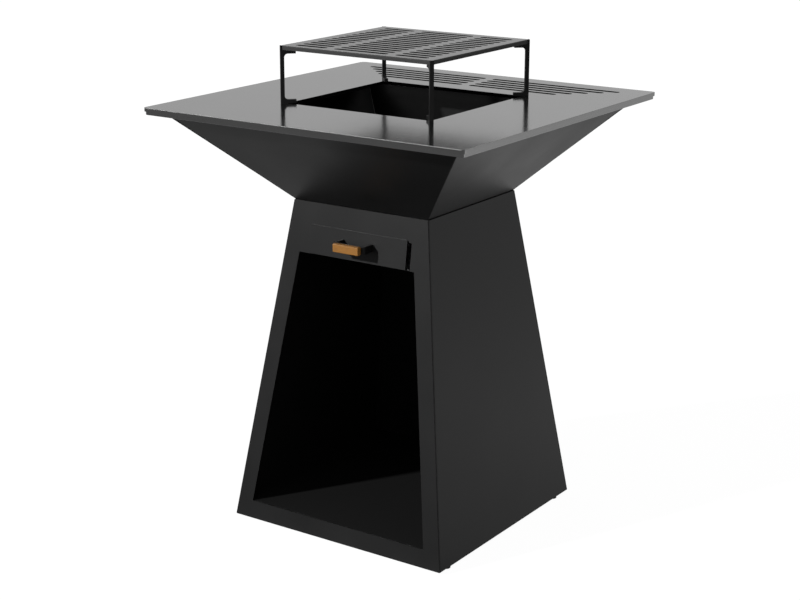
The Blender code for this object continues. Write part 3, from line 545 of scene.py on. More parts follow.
def pedestal_inside_shade(tree):
    """1 on the inner faces of the pedestal's sheets, 0 on their outer ones; where it is 1, the coat is
    darker and duller as painted shade.
    """
    axes = object_axes(tree)
    slope = (PANEL_HIGH.x - PEDESTAL_TOP_HALF) / (PANEL_HIGH.z - PANEL_LOW.z)
    wall = calc(tree, "MULTIPLY_ADD", axes[2], -slope, PANEL_HIGH.x + slope * PANEL_LOW.z)
    return between(tree, wall - side_reach(tree, axes), 0, 1, INSIDE_START * PANEL_SHEET,
                   INSIDE_FULL * PANEL_SHEET)


def black_paint():
    # Painted shade: the coat is darker and duller on the inside of the pedestal.
    return coat("black_paint", settings().colours.powder_coat, least=0.36, most=0.40,
                peel_scale=520.0, peel_depth=0.000016, sheen=0.42, dull=pedestal_inside_shade)


def bowl_paint():
    return coat("bowl_paint", settings().colours.bowl_coat, least=0.36, most=0.42,
                peel_scale=700.0, peel_depth=0.000014)


def leg_paint():
    return coat("leg_paint", settings().colours.leg_coat, least=0.42, most=0.48,
                peel_scale=800.0, peel_depth=0.000014, sheen=0.40)


def foot_plastic():
    return coat("foot_plastic", settings().colours.glide, least=0.50, most=0.60,
                peel_scale=1200.0, peel_depth=0.00001)


def steel(name, tone, least, most, dull=None, worn=None):
    """Rolled dark steel: faint streaks along X under an oil film in patches, least to most rough.

    dull is as for sooted, and worn makes the share, from 0 to 1, by which an edge has lost its gloss.
    """
    material, tree, shader = new_finish(name)
    patches = noise(tree, scale=5.0, detail=5.0)
    streaks = noise(tree, scale=60.0, detail=4.0, stretch=(0.08, 1, 1))
    grain = noise(tree, scale=900.0, detail=2.0, stretch=(0.25, 1, 1))
    tint = mottled(tree, between(tree, patches + streaks, 0, 1, 0.7, 1.3), tone, darkest=0.97,
                   lightest=1.03)
    roughness = between(tree, patches, least, most) + between(tree, streaks, -0.012, 0.012)
    if dull:
        tint, roughness = sooted_and_shaded(tree, tint, roughness, dull)
    if worn:
        roughness = between(tree, worn(tree), roughness, WORN_ROUGHNESS, 0, 1)
    wire(shader, metallic=1.0, base_color=tint, roughness=roughness, normal=bump(tree, grain, 0.000004))
    return material


def cut_walls(tree, low, high, outer_share):
    """1 on the walls of a plate's openings, 0 on its top and underside, outer_share on its outer edges.

    low and high are the plate's lowest and highest corners. Where it is 1, the steel gets soot and painted
    shade.
    """
    axes = object_axes(tree)
    below = between(tree, axes[2], 1, 0, high.z - SOOT_AND_SHADE_FULL, high.z - SOOT_AND_SHADE_START)
    above = between(tree, axes[2], 0, 1, low.z + SOOT_AND_SHADE_START, low.z + SOOT_AND_SHADE_FULL)
    inner = between(tree, side_reach(tree, axes), 1, outer_share, high.x - OUTER_START,
                    high.x - OUTER_FULL)
    return below * above * inner


def top_edges(tree, high, width):
    """1 on the rounding of a plate's outer edges at its top, 0 elsewhere."""
    axes, full = object_axes(tree), WORN_FULL_SHARE * width
    outer = between(tree, side_reach(tree, axes), 0, 1, high.x - width, high.x - full)
    upper = between(tree, axes[2], 0, 1, high.z - width, high.z - full)
    return outer * upper


def griddle_steel():
    # Soot and painted shade darken the plate's cut walls.
    return steel("griddle_steel", settings().colours.griddle, least=0.13, most=0.15,
                 dull=lambda tree: cut_walls(tree, PLATE_LOW, PLATE_HIGH, 0.0),
                 worn=lambda tree: top_edges(tree, PLATE_HIGH, settings().griddle.edge_round))


def grate_soot_and_shade(tree):
    """1 on the raised grate's cut walls and nearly so on its outer edges, for soot and painted shade, and
    nearly so as low as the fire grate, for soot.
    """
    embers = between(tree, object_axes(tree)[2], FIRE_GRATE_SOOT, 0, FIRE_HIGH.z + FADE_START,
                     FIRE_HIGH.z + FADE_END)
    return calc(tree, "MAXIMUM", cut_walls(tree, GRATE_LOW, GRATE_HIGH, GRATE_EDGE_SOOT_AND_SHADE), embers)


def grate_steel():
    # Soot and painted shade darken the raised grate's cut walls and outer edges; soot darkens all that lies
    # as low as the fire grate.
    return steel("grate_steel", settings().colours.grate, least=0.26, most=0.30, dull=grate_soot_and_shade,
                 worn=lambda tree: top_edges(tree, GRATE_HIGH, settings().grill.edge_round))


def fastener_steel():
    return steel("fastener_steel", settings().colours.fastener, least=0.28, most=0.36)


def zinc_sheet():
    """Galvanised sheet: spangles of unlike brightness and sheen."""
    material, tree, shader = new_finish("zinc_sheet")
    spangle = made(tree, "ShaderNodeTexVoronoi", {"Vector": object_place(tree), "Scale": 130.0}, out="Color")
    flake = made(tree, "ShaderNodeSeparateColor", {"Color": spangle})
    frost = noise(tree, scale=900.0, detail=3.0)
    wire(shader,
         metallic=0.9,
         base_color=mottled(tree, flake, settings().colours.zinc, darkest=0.78, lightest=1.12),
         roughness=between(tree, flake, 0.34, 0.52, 0, 1) + between(tree, frost, -0.03, 0.03),
         normal=bump(tree, frost, 0.000006))
    return material


def oiled_oak():
    """Oak with its grain along X: rings round a pith below the grip, and open pores."""
    material, tree, shader = new_finish("oiled_oak")
    tones = settings().colours
    centre = (GRIP_LOW + GRIP_HIGH) / 2
    local = made(tree, "ShaderNodeMapping", {"Vector": object_place(tree), "Location": -centre})
    axes = axes_of(tree, local)
    across, below = axes[1] + PITH_BEHIND, axes[2] + PITH_BELOW
    reach = calc(tree, "SQRT", across * across + below * below)
    drift = noise(tree, scale=1.0, detail=2.0, stretch=WANDER_STRETCH, place=local)
    ring = calc(tree, "FRACT", (reach + drift * RING_WANDER) / RING_WIDTH)
    late = calc(tree, "POWER", ring, LATE_POWER)
    pores = noise(tree, scale=1.0, detail=3.0, stretch=PORE_STRETCH, place=local)
    open_pores = between(tree, pores, 0, 1, PORE_START, PORE_FULL)
    grain = calc(tree, "MINIMUM", late * LATE_SHARE + open_pores * (1 - LATE_SHARE), 1.0)
    wire(shader,
         base_color=mixed(tree, grain, tones.oak_light, tones.oak_dark),
         roughness=between(tree, grain, 0.42, 0.58, 0, 1),
         normal=bump(tree, 1.0 - grain, PORE_DEPTH))
    return material


FINISHES = {make.__name__: make for make in (
    black_paint, bowl_paint, griddle_steel, grate_steel, leg_paint, zinc_sheet, fastener_steel,
    oiled_oak, foot_plastic)}


def finish(slot):
    """The material of a slot, made the first time that it is asked for."""
    return bpy.data.materials.get(slot + "_finish") or FINISHES[slot]()


def hand_over(obj, slot, body, *nodes):
    """Let a finished piece ride on its body, with its slot and the nodes that it stands for."""
    obj.data.materials.clear()
    obj.data.materials.append(finish(slot))
    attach(obj, body)
    if nodes:
        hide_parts(*nodes)


# Sheets and bars

def round_edges(obj, width, segments=3, method="ANGLE"):
    """Round the sharp edges and keep the faces between them flat."""
    obj.data.shade_smooth()
    bevel = obj.modifiers.new("Round edges", "BEVEL")
    bevel.limit_method = method
    bevel.angle_limit = EDGE_ANGLE
    bevel.width = width
    bevel.segments = segments
    weld = obj.modifiers.new("Weld", "WELD")
    weld.merge_threshold = BEVEL_MERGE
    shading = obj.modifiers.new("Flat faces", "WEIGHTED_NORMAL")
    shading.weight = 100
    shading.keep_sharp = True
    return plain(obj)


def merged_copy(node):
    """Copy of a node, its triangles merged to flat faces."""
    bm = bmesh.new()
    bm.from_mesh(NODES[node].data)
    bmesh.ops.remove_doubles(bm, verts=bm.verts, dist=MERGE)
    bmesh.ops.dissolve_limit(bm, angle_limit=FLAT_ANGLE, verts=bm.verts, edges=bm.edges)
    bmesh.ops.recalc_face_normals(bm, faces=bm.faces)
    mesh = bpy.data.meshes.new(node + "_finished")
    bm.to_mesh(mesh)
    bm.free()
    return new_object(node + "_finished", mesh)


def finished_copy(node, slot, body, width):
    """A node's sheet or bar with rounded edges, which stands for the node."""
    obj = round_edges(merged_copy(node), width)
    hand_over(obj, slot, body, node)


# Fasteners and welds

def nodes_named(start):
    return [node for node in NODES if node.startswith(start)]


def middle(node):
    low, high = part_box(node)
    return (low + high) / 2


def domed(radius, height, rim_share):
    """Rings of a domed head with an upright rim, from its seat up."""
    rim = height * rim_share
    rings = [(radius, 0.0), (radius, rim)]
    for step in range(1, DOME_STEPS):
        angle = step / DOME_STEPS * pi / 2
        rings.append((radius * cos(angle), (height - rim) * sin(angle) + rim))
    return rings + [(0.0, height)]


def screw_tree(sizes):
    """Domed screws with a hexagon socket, whose heads sit on the points that are given."""
    tree, given = new_tree("Screws", sizes)
    head, shank = given["Head Diameter"] / 2, given["Shank Diameter"] / 2
    height, chamfer, tip = given["Head Height"], given["Chamfer"], -given["Shank Length"]
    rings = [(0.0, tip), (shank - chamfer, tip), (shank, tip + chamfer), (shank, 0.0)]
    body = turned(tree, rings + domed(head, height, given["Rim Share"]), given["Sides"])
    deep, corner = height * (1 - given["Socket Share"]), given["Key Width"] / (2 * cos(pi / HEXAGON_SIDES))
    cut = boolean(tree, "DIFFERENCE", body, prism(tree, corner, deep, height * 2, HEXAGON_SIDES))
    return end_tree(tree, given, placed(tree, given["Geometry"], cut, given["Tilt"], 0))


def nut_tree(sizes):
    """Hexagon nuts with chamfered corners, standing on the points that are given."""
    tree, given = new_tree("Nuts", sizes)
    height, flat, sides = given["Height"], given["Width"] / 2, given["Sides"]
    corner = flat / cos(pi / HEXAGON_SIDES)
    drop = (corner - flat) * NUT_CORNER_SHARE
    turn = turned(tree, [(0.0, 0.0), (flat, 0.0), (corner, drop), (corner, height - drop),
                         (flat, height), (0.0, height)], sides)
    shaped = boolean(tree, "INTERSECT", prism(tree, corner, 0.0, height, HEXAGON_SIDES), turn)
    bore = prism(tree, given["Bore"] / 2, -height, height * 2, sides)
    nut = boolean(tree, "DIFFERENCE", shaped, bore)
    return end_tree(tree, given, placed(tree, given["Geometry"], nut, 0, given["Turn"]))


def foot_tree(sizes):
    """Glides with a rounded foot, a narrower waist and a threaded stud."""
    tree, given = new_tree("Feet", sizes)
    foot, stud = given["Foot Diameter"] / 2, given["Stud Diameter"] / 2
    curve, waist, chamfer = given["Rounding"], given["Waist"], given["Chamfer"]
    top, tip = given["Foot Height"], given["Stud Top"]
    rings = [(0.0, 0.0)]
    for step in range(DOME_STEPS + 1):
        angle = step / DOME_STEPS * pi / 2
        rings.append((foot - curve * (1 - sin(angle)), curve * (1 - cos(angle))))
    rings += [(foot, top * FOOT_WAIST_SHARE), (foot - waist, top), (stud, top), (stud, tip - chamfer),
              (stud - chamfer, tip), (0.0, tip)]
    return end_tree(tree, given, placed(tree, given["Geometry"], turned(tree, rings, given["Sides"]), 0, 0))


def bead_tree(sizes):
    """Weld beads with ripples, along the edges that are given."""
    tree, given = new_tree("Weld beads", sizes)
    line = made(tree, "GeometryNodeMeshToCurve", {"Mesh": given["Geometry"]})
    fine = made(tree, "GeometryNodeResampleCurve", {"Curve": line, "Length": given["Step"]}, mode="LENGTH")
    turns = made(tree, "GeometryNodeSplineParameter", out="Length") / given["Ripple Pitch"]
    wave = calc(tree, "SINE", turns * (2 * pi))
    uneven = made(tree, "ShaderNodeTexNoise", {"Scale": BEAD_NOISE})
    radius = given["Radius"] * (1 - (wave + uneven) * given["Ripple"])
    ring = made(tree, "GeometryNodeCurvePrimitiveCircle", {"Resolution": given["Sides"], "Radius": 1.0})
    return end_tree(tree, given, made(tree, "GeometryNodeCurveToMesh",
                                      {"Curve": fine, "Profile Curve": ring, "Scale": radius,
                                       "Fill Caps": True}))


def add_screws(name, nodes, body, head_height, shank, key, tilt):
    """Domed screws that stand for nodes, seated where the nodes' heads are.

    tilt turns the head from straight up about the X axis.
    """
    own = settings().fasteners
    up = Vector((0, -sin(tilt), cos(tilt)))
    seats = []
    for node in nodes:
        low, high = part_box(node)
        overall = abs((high - low).dot(up))
        seats.append(middle(node) + up * (overall / 2 - head_height))
    sizes = {"Head Diameter": high.x - low.x, "Head Height": head_height, "Shank Diameter": shank,
             "Shank Length": overall - head_height, "Chamfer": own.chamfer, "Key Width": key,
             "Socket Share": own.socket_share, "Rim Share": own.rim_share, "Tilt": tilt,
             "Sides": ROUND_SIDES}
    screws = grow(name, screw_tree(sizes), sizes, "fastener_steel", host_mesh(name, seats))
    hand_over(screws, "fastener_steel", body, *nodes)


def add_nuts(name, nodes):
    """Nuts that stand for nodes of the pedestal."""
    own = settings().fasteners
    low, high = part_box(nodes[0])
    sizes = {"Width": high.x - low.x, "Height": high.z - low.z, "Bore": own.stud + 2 * own.play,
             "Turn": pi / HEXAGON_SIDES, "Sides": ROUND_SIDES}
    seats = [middle(node) - Vector((0, 0, (high.z - low.z) / 2)) for node in nodes]
    nuts = grow(name, nut_tree(sizes), sizes, "fastener_steel", host_mesh(name, seats))
    hand_over(nuts, "fastener_steel", "pedestal", *nodes)


def add_beads(name, lines, radius, slot, ripple=None):
    """Weld beads along lines, each with its two ends, on the pedestal."""
    own = settings().welds
    sizes = {"Radius": radius, "Step": own.step, "Ripple": own.ripple if ripple is None else ripple,
             "Ripple Pitch": own.ripple_pitch, "Sides": BEAD_SIDES}
    points = [point for line in lines for point in line]
    edges = [(i, i + 1) for i in range(0, len(points), 2)]
    beads = grow(name, bead_tree(sizes), sizes, slot, host_mesh(name, points, edges))
    hand_over(beads, slot, "pedestal")


def corner_line(low_half, low, high_half, high):
    """Line up a pyramid's corner, each end given by its distance from both axes and its height."""
    return (low_half, low_half, low), (high_half, high_half, high)


def four_turns(line):
    """A line with its copies at every quarter turn."""
    return [[Matrix.Rotation(quarter * pi / 2, 3, "Z") @ Vector(end) for end in line]
            for quarter in range(4)]


# Slotted plates

def slot_outlines(tree, rows, pitch, first_row, width, steps, left, right):
    """Outlines of a column of slots along X, whose ends are half circles.

    left and right give a slot's two ends, each from the height of its row.
    """
    half_points = steps + 1
    points = half_points * 2
    line = made(tree, "GeometryNodeMeshLine", {"Count": rows})
    ring = made(tree, "GeometryNodeCurvePrimitiveCircle", {"Resolution": points})
    rings = made(tree, "GeometryNodeInstanceOnPoints", {"Points": line, "Instance": ring})
    curves = made(tree, "GeometryNodeRealizeInstances", {"Geometry": rings})
    index = made(tree, "GeometryNodeInputIndex")
    row = calc(tree, "FLOOR", (index + 0.5) / points)
    local = index - row * points
    side = calc(tree, "FLOOR", (local + 0.5) / half_points)
    turn = (local - side * half_points) / steps + side
    angle, radius = (turn - 0.5) * pi, width / 2
    row_y = row * pitch + first_row
    right_centre, left_centre = right(row_y) - radius, left(row_y) + radius
    centre = right_centre + side * (left_centre - right_centre)
    x = calc(tree, "COSINE", angle) * radius + centre
    y = calc(tree, "SINE", angle) * radius + row_y
    return made(tree, "GeometryNodeSetPosition", {"Geometry": curves, "Position": vector(tree, x, y, 0)})


def round_square(tree, side, radius, steps):
    square = made(tree, "GeometryNodeCurvePrimitiveQuadrilateral", {"Width": side, "Height": side})
    return made(tree, "GeometryNodeFilletCurve", {"Curve": square, "Count": steps, "Radius": radius},
                mode="POLY")


def edge_weights(tree, given, plate):
    """Weights for rounding: full on the outer edges, less round the slots, none on flat edges."""
    sharp = calc(tree, "GREATER_THAN", made(tree, "GeometryNodeInputMeshEdgeAngle"), EDGE_ANGLE)
    reach = side_reach(tree, axes_of(tree, made(tree, "GeometryNodeInputPosition")))
    outer = calc(tree, "GREATER_THAN", reach, given["Side"] / 2 - given["Corner Radius"])
    rim_share = given["Rim Rounding"] / given["Edge Rounding"]
    return made(tree, "GeometryNodeStoreNamedAttribute",
                {"Geometry": plate, "Name": "bevel_weight_edge",
                 "Value": sharp * calc(tree, "MAXIMUM", outer, rim_share)},
                data_type="FLOAT", domain="EDGE")


def blind_holes(tree, given):
    """Bodies of the four screw holes in the grate's underside."""
    width, hole = given["Screw Reach"] * 2, given["Screw Hole"]
    points = made(tree, "GeometryNodeMeshGrid",
                  {"Size X": width, "Size Y": width, "Vertices X": 2, "Vertices Y": 2})
    body = prism(tree, hole / 2, given["Bottom"] - hole, given["Screw Top"], given["Sides"])
    return placed(tree, points, body, 0, 0)


def end_plate(tree, given, outlines, holes=None):
    """End a plate's tree: outlines filled and thickened, blind holes cut, edges weighted."""
    flat = made(tree, "GeometryNodeFillCurve", {"Curve": join(tree, outlines)})
    rise = vector(tree, 0, 0, given["Thickness"])
    walls = made(tree, "GeometryNodeExtrudeMesh", {"Mesh": flat, "Offset": rise, "Individual": False})
    below = made(tree, "GeometryNodeFlipFaces", {"Mesh": flat})
    closed = made(tree, "GeometryNodeMergeByDistance",
                  {"Geometry": join(tree, [walls, below]), "Distance": MERGE})
    raised = moved(tree, closed, vector(tree, 0, 0, given["Bottom"]))
    if holes:
        raised = boolean(tree, "DIFFERENCE", raised, holes(tree, given))
    return end_tree(tree, given, edge_weights(tree, given, raised))


def plate_sizes(own, low, high, more):
    """Inputs that all three slotted plates share, and more for one of them."""
    return {"Side": own.side, "Corner Radius": own.corner_radius, "Edge Rounding": own.edge_round,
            "Rim Rounding": own.rim_round, "Thickness": high.z - low.z, "Bottom": low.z,
            "Rows": own.rows, "Pitch": own.pitch, "Slot Width": own.slot_width,
            "Arc Steps": ARC_STEPS, **more}


def add_plate(node, tree, sizes, slot, body, segments=3):
    """Slotted plate that a tree makes and that stands for a node."""
    plate = grow(node + "_finished", tree, sizes, slot)
    round_edges(plate, sizes["Edge Rounding"], segments, "WEIGHT")
    hand_over(plate, slot, body, node)


def griddle_plate_tree(sizes):
    tree, given = new_tree("Griddle plate", sizes)
    steps, web = given["Arc Steps"], given["Web"] / 2
    span = (given["Rows"] - 1) * given["Pitch"]
    first = given["Side"] / 2 - given["Last Row Inset"] - span

    def far(y):
        return y - given["End Inset"]

    outlines = [round_square(tree, given["Side"], given["Corner Radius"], steps),
                round_square(tree, given["Hole Side"], given["Hole Radius"], steps)]
    for left, right in ((lambda y: web, far), (lambda y: -far(y), lambda y: -web)):
        outlines.append(slot_outlines(tree, given["Rows"], given["Pitch"], first, given["Slot Width"],
                                      steps, left, right))
    return end_plate(tree, given, outlines)


def grate_tree(name, sizes, columns, holes=None):
    """Square grate whose rows of slots lie in columns; columns gives the ends of each."""
    tree, given = new_tree(name, sizes)
    steps = given["Arc Steps"]
    outlines = [round_square(tree, given["Side"], given["Corner Radius"], steps)]
    for left, right in columns(given):
        outlines.append(slot_outlines(tree, given["Rows"], given["Pitch"], given["First Row"],
                                      given["Slot Width"], steps, lambda y: left, lambda y: right))
    return end_plate(tree, given, outlines, holes)


def grill_columns(given):
    half = given["Middle Slot"] / 2
    near, far = half + given["Rib"], given["Side"] / 2 - given["Side Margin"]
    return (-far, -near), (-half, half), (near, far)


def fire_columns(given):
    near, far = given["Web"] / 2, given["Side"] / 2 - given["Margin"]
    return (near, far), (-far, -near)


class BARBECUE_OT_griddle_plate(Operator):
    """Make the griddle plate with its fire hole and searing slots"""
    bl_idname = "barbecue.griddle_plate"
    bl_label = "Griddle plate"

    def execute(self, context):
        own = settings().griddle
        sizes = plate_sizes(own, PLATE_LOW, PLATE_HIGH, {
            "Hole Side": own.hole_side, "Hole Radius": own.hole_radius, "Web": own.web,
            "Last Row Inset": own.last_row_inset, "End Inset": own.end_inset})
        add_plate("griddle_plate", griddle_plate_tree(sizes), sizes, "griddle_steel", "griddle")
        return {"FINISHED"}


class BARBECUE_OT_grill_grate(Operator):
    """Make the raised grill grate with its three columns of slots"""
    bl_idname = "barbecue.grill_grate"
    bl_label = "Grill grate"

    def execute(self, context):
        own, play = settings().grill, settings().fasteners.play
        screw_low, screw_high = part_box("grate_screw_back_right")
        sizes = plate_sizes(own, GRATE_LOW, GRATE_HIGH, {
            "First Row": own.first_row_inset - own.side / 2, "Middle Slot": own.middle_slot,
            "Rib": own.rib, "Side Margin": own.side_margin,
            "Screw Reach": (screw_low.x + screw_high.x) / 2, "Screw Top": screw_high.z + play,
            "Screw Hole": GRATE_SHANK + 2 * play, "Sides": HOLE_SIDES})
        tree = grate_tree("Grill grate", sizes, grill_columns, blind_holes)
        add_plate("grill_grate", tree, sizes, "grate_steel", "raised_grate", segments=4)
        return {"FINISHED"}


class BARBECUE_OT_fire_grate(Operator):
    """Make the loose fire grate in the bottom of the bowl"""
    bl_idname = "barbecue.fire_grate"
    bl_label = "Fire grate"

    def execute(self, context):
        own = settings().fire
        sizes = plate_sizes(own, FIRE_LOW, FIRE_HIGH, {
            "First Row": -(own.rows - 1) / 2 * own.pitch, "Web": own.web, "Margin": own.margin})
        tree = grate_tree("Fire grate", sizes, fire_columns)
        add_plate("fire_grate", tree, sizes, "grate_steel", "fire_bed")
        return {"FINISHED"}


class BARBECUE_OT_pedestal_sheets(Operator):
    """Round the cut edges of the pedestal's coated sheets"""
    bl_idname = "barbecue.pedestal_sheets"
    bl_label = "Pedestal sheets"

    def execute(self, context):
        width = settings().edges.panel
        for node in ("front_panel", "back_panel", "right_panel", "left_panel", "pedestal_top_plate",
                     "log_store_floor", "right_channel", "left_channel", "ash_shelf"):
            finished_copy(node, "black_paint", "pedestal", width)
        return {"FINISHED"}


class BARBECUE_OT_zinc_sheets(Operator):
    """Finish the galvanised chute, drawer guides and ash tray"""
    bl_idname = "barbecue.zinc_sheets"
    bl_label = "Zinc sheets"

    def execute(self, context):
        width = settings().edges.thin
        for node in ("ash_chute", "right_drawer_guide", "left_drawer_guide"):
            finished_copy(node, "zinc_sheet", "pedestal", width)
        finished_copy("ash_tray", "zinc_sheet", "ash_drawer", width)
        return {"FINISHED"}


class BARBECUE_OT_fire_bowl(Operator):
    """Finish the walls, the floor and the rim of the fire bowl"""
    bl_idname = "barbecue.fire_bowl"
    bl_label = "Fire bowl"

    def execute(self, context):
        edges = settings().edges
        for node in ("bowl_front", "bowl_right", "bowl_back", "bowl_left", "bowl_floor"):
            finished_copy(node, "bowl_paint", "pedestal", edges.bowl)
        finished_copy("bowl_rim", "griddle_steel", "pedestal", edges.rim)
        return {"FINISHED"}


class BARBECUE_OT_fasteners(Operator):
    """Make the bolts, the nuts, the screws and the feet"""
    bl_idname = "barbecue.fasteners"
    bl_label = "Fasteners and feet"

    def execute(self, context):
        own = settings().fasteners
        add_screws("bowl_bolts", nodes_named("bowl_bolt_"), "pedestal", BOLT_HEAD_HEIGHT, own.stud,
                   own.bolt_key, 0.0)
        add_screws("grate_screws", nodes_named("grate_screw_"), "raised_grate", GRATE_HEAD_HEIGHT,
                   GRATE_SHANK, own.screw_key, pi)
        add_screws("handle_screws", nodes_named("handle_screw_"), "ash_drawer", HANDLE_HEAD_HEIGHT,
                   HANDLE_SHANK, own.screw_key, -pi / 2)
        add_nuts("bowl_nuts", nodes_named("bowl_nut_"))
        add_nuts("foot_nuts", nodes_named("foot_nut_"))
        feet = [node for node in nodes_named("foot_") if node not in nodes_named("foot_nut_")]
        low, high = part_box(feet[0])
        sizes = {"Foot Diameter": high.x - low.x, "Foot Height": PANEL_LOW.z - own.play, "Stud Top": high.z,
                 "Stud Diameter": own.stud, "Rounding": own.foot_round, "Waist": own.foot_waist,
                 "Chamfer": own.chamfer, "Sides": ROUND_SIDES}
        points = [Vector((middle(node).x, middle(node).y, 0)) for node in feet]
        glides = grow("feet", foot_tree(sizes), sizes, "foot_plastic", host_mesh("feet", points))
        hand_over(glides, "foot_plastic", "pedestal", *feet)
        return {"FINISHED"}


class BARBECUE_OT_welds(Operator):
    """Lay the weld beads of the bowl and of the pedestal"""
    bl_idname = "barbecue.welds"
    bl_label = "Welds"

    def execute(self, context):
        own = settings().welds
        bottom, top = BOWL_LOW.z, BOWL_HIGH.z
        inner_low, outer_high = BOWL_LOW.x, BOWL_HIGH.x
        spread = (outer_high - inner_low) / (top - bottom + BOWL_SHEET)
        run = BOWL_SHEET * (1 + spread * spread) ** 0.5
        outer_low, inner_high = inner_low + run, outer_high - run
        floor_top, floor_half = bottom + BOWL_SHEET, inner_low + spread * BOWL_SHEET
        inner_corner = corner_line(floor_half, floor_top, inner_high, top - own.inner)
        floor_seam = (floor_half, -floor_half, floor_top), (floor_half, floor_half, floor_top)
        outer_corner = corner_line(outer_low - own.outer, bottom + own.outer, outer_high - own.outer,
                                   top - own.outer)
        rim_seam = (outer_high, -outer_high, top), (outer_high, outer_high, top)
        pedestal_top = PANEL_HIGH.z - PEDESTAL_BEAD_STOP * own.pedestal
        pedestal_corner = corner_line(PANEL_HIGH.x - PANEL_SHEET, PANEL_LOW.z + own.pedestal,
                                      PEDESTAL_TOP_HALF - PANEL_SHEET, pedestal_top)
        # The inner beads are bare steel, lighter than the bowl's coat, so that they show as a light seam
        # line: real weld beads with a painted highlight.
        add_beads("bowl_inner_welds", four_turns(inner_corner) + four_turns(floor_seam), own.inner,
                  "grate_steel")
        add_beads("bowl_outer_welds", four_turns(outer_corner), own.outer, "bowl_paint", 0.0)
        add_beads("bowl_rim_weld", four_turns(rim_seam), own.rim, "bowl_paint")
        add_beads("pedestal_welds", four_turns(pedestal_corner), own.pedestal, "black_paint")
        return {"FINISHED"}


class BARBECUE_OT_legs_and_lugs(Operator):
    """Finish the grate's legs and the griddle plate's centring lugs"""
    bl_idname = "barbecue.legs_and_lugs"
    bl_label = "Legs and lugs"

    def execute(self, context):
        width = settings().edges.bar
        for node in nodes_named("grate_leg_"):
            finished_copy(node, "leg_paint", "raised_grate", width)
        for node in nodes_named("plate_lug_"):
            finished_copy(node, "black_paint", "griddle", width)
        return {"FINISHED"}


class BARBECUE_OT_drawer(Operator):
    """Finish the drawer front and the handle bracket"""
    bl_idname = "barbecue.drawer"
    bl_label = "Drawer"

    def execute(self, context):
        edges = settings().edges
        finished_copy("drawer_front", "black_paint", "ash_drawer", edges.front)
        finished_copy("handle_bracket", "leg_paint", "ash_drawer", edges.bar)
        return {"FINISHED"}


class BARBECUE_OT_handle_grip(Operator):
    """Round the long edges of the wooden grip"""
    bl_idname = "barbecue.handle_grip"
    bl_label = "Handle grip"

    def execute(self, context):
        grip = merged_copy("handle_grip")
        bm = bmesh.new()
        bm.from_mesh(grip.data)
        weight = bm.edges.layers.float.new("bevel_weight_edge")
        for edge in bm.edges:
            ends = [[min(abs(co - low), abs(co - high)) < MERGE for co, low, high
                     in zip(vert.co, GRIP_LOW, GRIP_HIGH)] for vert in edge.verts]
            edge[weight] = 1.0 if sum(a and b for a, b in zip(*ends)) >= 2 else 0.0
        bm.to_mesh(grip.data)
        bm.free()
        round_edges(grip, settings().edges.grip, segments=4, method="WEIGHT")
        hand_over(grip, "oiled_oak", "ash_drawer", "handle_grip")
        return {"FINISHED"}


# Studio

def path_mix(tree, seen, mirrored, lit):
    """Shader that shows one thing to the camera, one in mirror and clear surfaces, one as light."""
    camera, glossy, clear = (made(tree, "ShaderNodeLightPath", out=name)
                             for name in ("Is Camera Ray", "Is Glossy Ray", "Is Transmission Ray"))
    mirror = calc(tree, "MAXIMUM", glossy, clear)
    inner = made(tree, "ShaderNodeMixShader", {0: mirror, 1: lit, 2: mirrored})
    return made(tree, "ShaderNodeMixShader", {0: camera, 1: inner, 2: seen})


def glow(tree, kind, strength):
    return made(tree, kind, {"Color": (1, 1, 1, 1), "Strength": strength})


def bare_tree(owner):
    """Empty node tree of a new world or material."""
    owner.use_nodes = True
    owner.node_tree.nodes.clear()
    return owner.node_tree


def make_world(ambient):
    world = bpy.data.worlds.new("Studio")
    tree = bare_tree(world)
    depth = axes_of(tree, made(tree, "ShaderNodeTexCoord", out="Generated"))[1]
    sky = between(tree, depth, SKY_FRONT, SKY_BACK, -SKY_SLOPE, SKY_SLOPE)
    kind = "ShaderNodeBackground"
    mix = path_mix(tree, glow(tree, kind, 1.0), glow(tree, kind, sky), glow(tree, kind, ambient))
    add_node(tree, "ShaderNodeOutputWorld", {"Surface": mix})
    bpy.context.scene.world = world


def make_floor():
    mesh = bpy.data.meshes.new("studio_floor")
    bm = bmesh.new()
    bmesh.ops.create_grid(bm, x_segments=1, y_segments=1, size=FLOOR_SIDE / 2)
    bm.to_mesh(mesh)
    bm.free()
    material = bpy.data.materials.new("pale_floor")
    tree = bare_tree(material)
    kind = "ShaderNodeEmission"
    pale, faint = (made(tree, "ShaderNodeBsdfDiffuse", {"Color": (tone, tone, tone, 1)})
                   for tone in (FLOOR_TONE, FLOOR_FAINT))
    seen = made(tree, "ShaderNodeAddShader", {0: glow(tree, kind, FLOOR_GLOW), 1: faint})
    # The floor's level in mirrors is a painted reflection, darkest just in front of the object as painted
    # shade.
    depth = object_axes(tree)[1]
    level = FLOOR_MIRRORED[0][1]
    for (near, low), (far, high) in zip(FLOOR_MIRRORED, FLOOR_MIRRORED[1:]):
        level = between(tree, depth, 0, high - low, near, far) + level
    add_node(tree, "ShaderNodeOutputMaterial",
             {"Surface": path_mix(tree, seen, glow(tree, kind, level), pale)})
    mesh.materials.append(material)
    floor = new_object("studio_floor", mesh)


def aimed(name, data, direction):
    """New object whose Z axis points in a direction, with its Y axis up."""
    obj = new_object(name, data)
    obj.rotation_mode = "QUATERNION"
    obj.rotation_quaternion = Vector(direction).to_track_quat("Z", "Y")
    return obj


def make_key_light(studio):
    data = bpy.data.lights.new("key_light", "SUN")
    data.energy = studio.key_strength
    data.angle = studio.key_angle
    aimed("key_light", data, KEY_FROM)


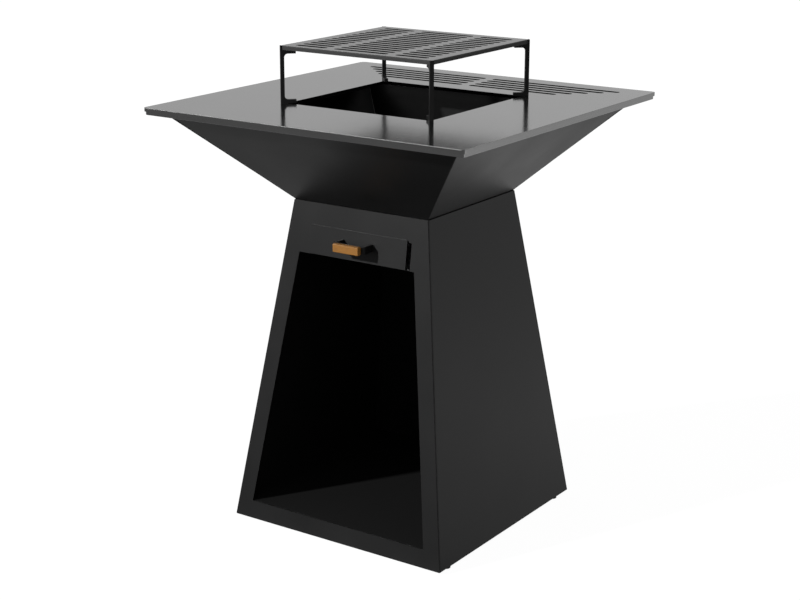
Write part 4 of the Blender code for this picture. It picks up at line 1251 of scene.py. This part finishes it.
def make_camera():
    data = bpy.data.cameras.new("camera")
    data.lens = CAMERA_LENS
    data.shift_x, data.shift_y = CAMERA_SHIFT
    camera = aimed("camera", data, CAMERA_BACK)
    camera.location = CAMERA_PLACE
    bpy.context.scene.camera = camera


class BARBECUE_OT_stage(Operator):
    """Set up the pale floor, the studio light and the camera"""
    bl_idname = "barbecue.stage"
    bl_label = "Stage"

    def execute(self, context):
        make_world(settings().studio.ambient)
        make_floor()
        make_key_light(settings().studio)
        make_camera()
        context.scene.view_settings.view_transform = "Standard"
        return {"FINISHED"}


PIECES = (BARBECUE_OT_griddle_plate, BARBECUE_OT_grill_grate, BARBECUE_OT_fire_grate,
          BARBECUE_OT_pedestal_sheets, BARBECUE_OT_zinc_sheets, BARBECUE_OT_fire_bowl,
          BARBECUE_OT_fasteners, BARBECUE_OT_welds, BARBECUE_OT_legs_and_lugs, BARBECUE_OT_drawer,
          BARBECUE_OT_handle_grip, BARBECUE_OT_stage)


class BARBECUE_PT_panel(Panel):
    """List of the pieces that can be made"""
    bl_idname = "BARBECUE_PT_panel"
    bl_label = "Plancha barbecue"
    bl_space_type = "VIEW_3D"
    bl_region_type = "UI"
    bl_category = "Barbecue"

    def draw(self, context):
        for piece in PIECES:
            self.layout.operator(piece.bl_idname)


CLASSES = (GriddlePlateSizes, GrillGrateSizes, FireGrateSizes, FastenerSizes, WeldSizes,
           EdgeSizes, FinishColours, StudioSettings, BarbecueSettings, *PIECES, BARBECUE_PT_panel)


def register():
    for cls in CLASSES:
        bpy.utils.register_class(cls)
    bpy.types.Scene.plancha_barbecue = PointerProperty(type=BarbecueSettings)


def unregister():
    del bpy.types.Scene.plancha_barbecue
    for cls in reversed(CLASSES):
        bpy.utils.unregister_class(cls)


def main():
    register()
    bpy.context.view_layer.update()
    for piece in PIECES:
        group, name = piece.bl_idname.split(".")
        getattr(getattr(bpy.ops, group), name)()
    shown = [name for name, obj in NODES.items() if not obj.hide_render]
    if shown:
        raise RuntimeError("no finished piece stands for " + ", ".join(shown))


if __name__ == "__main__":
    main()
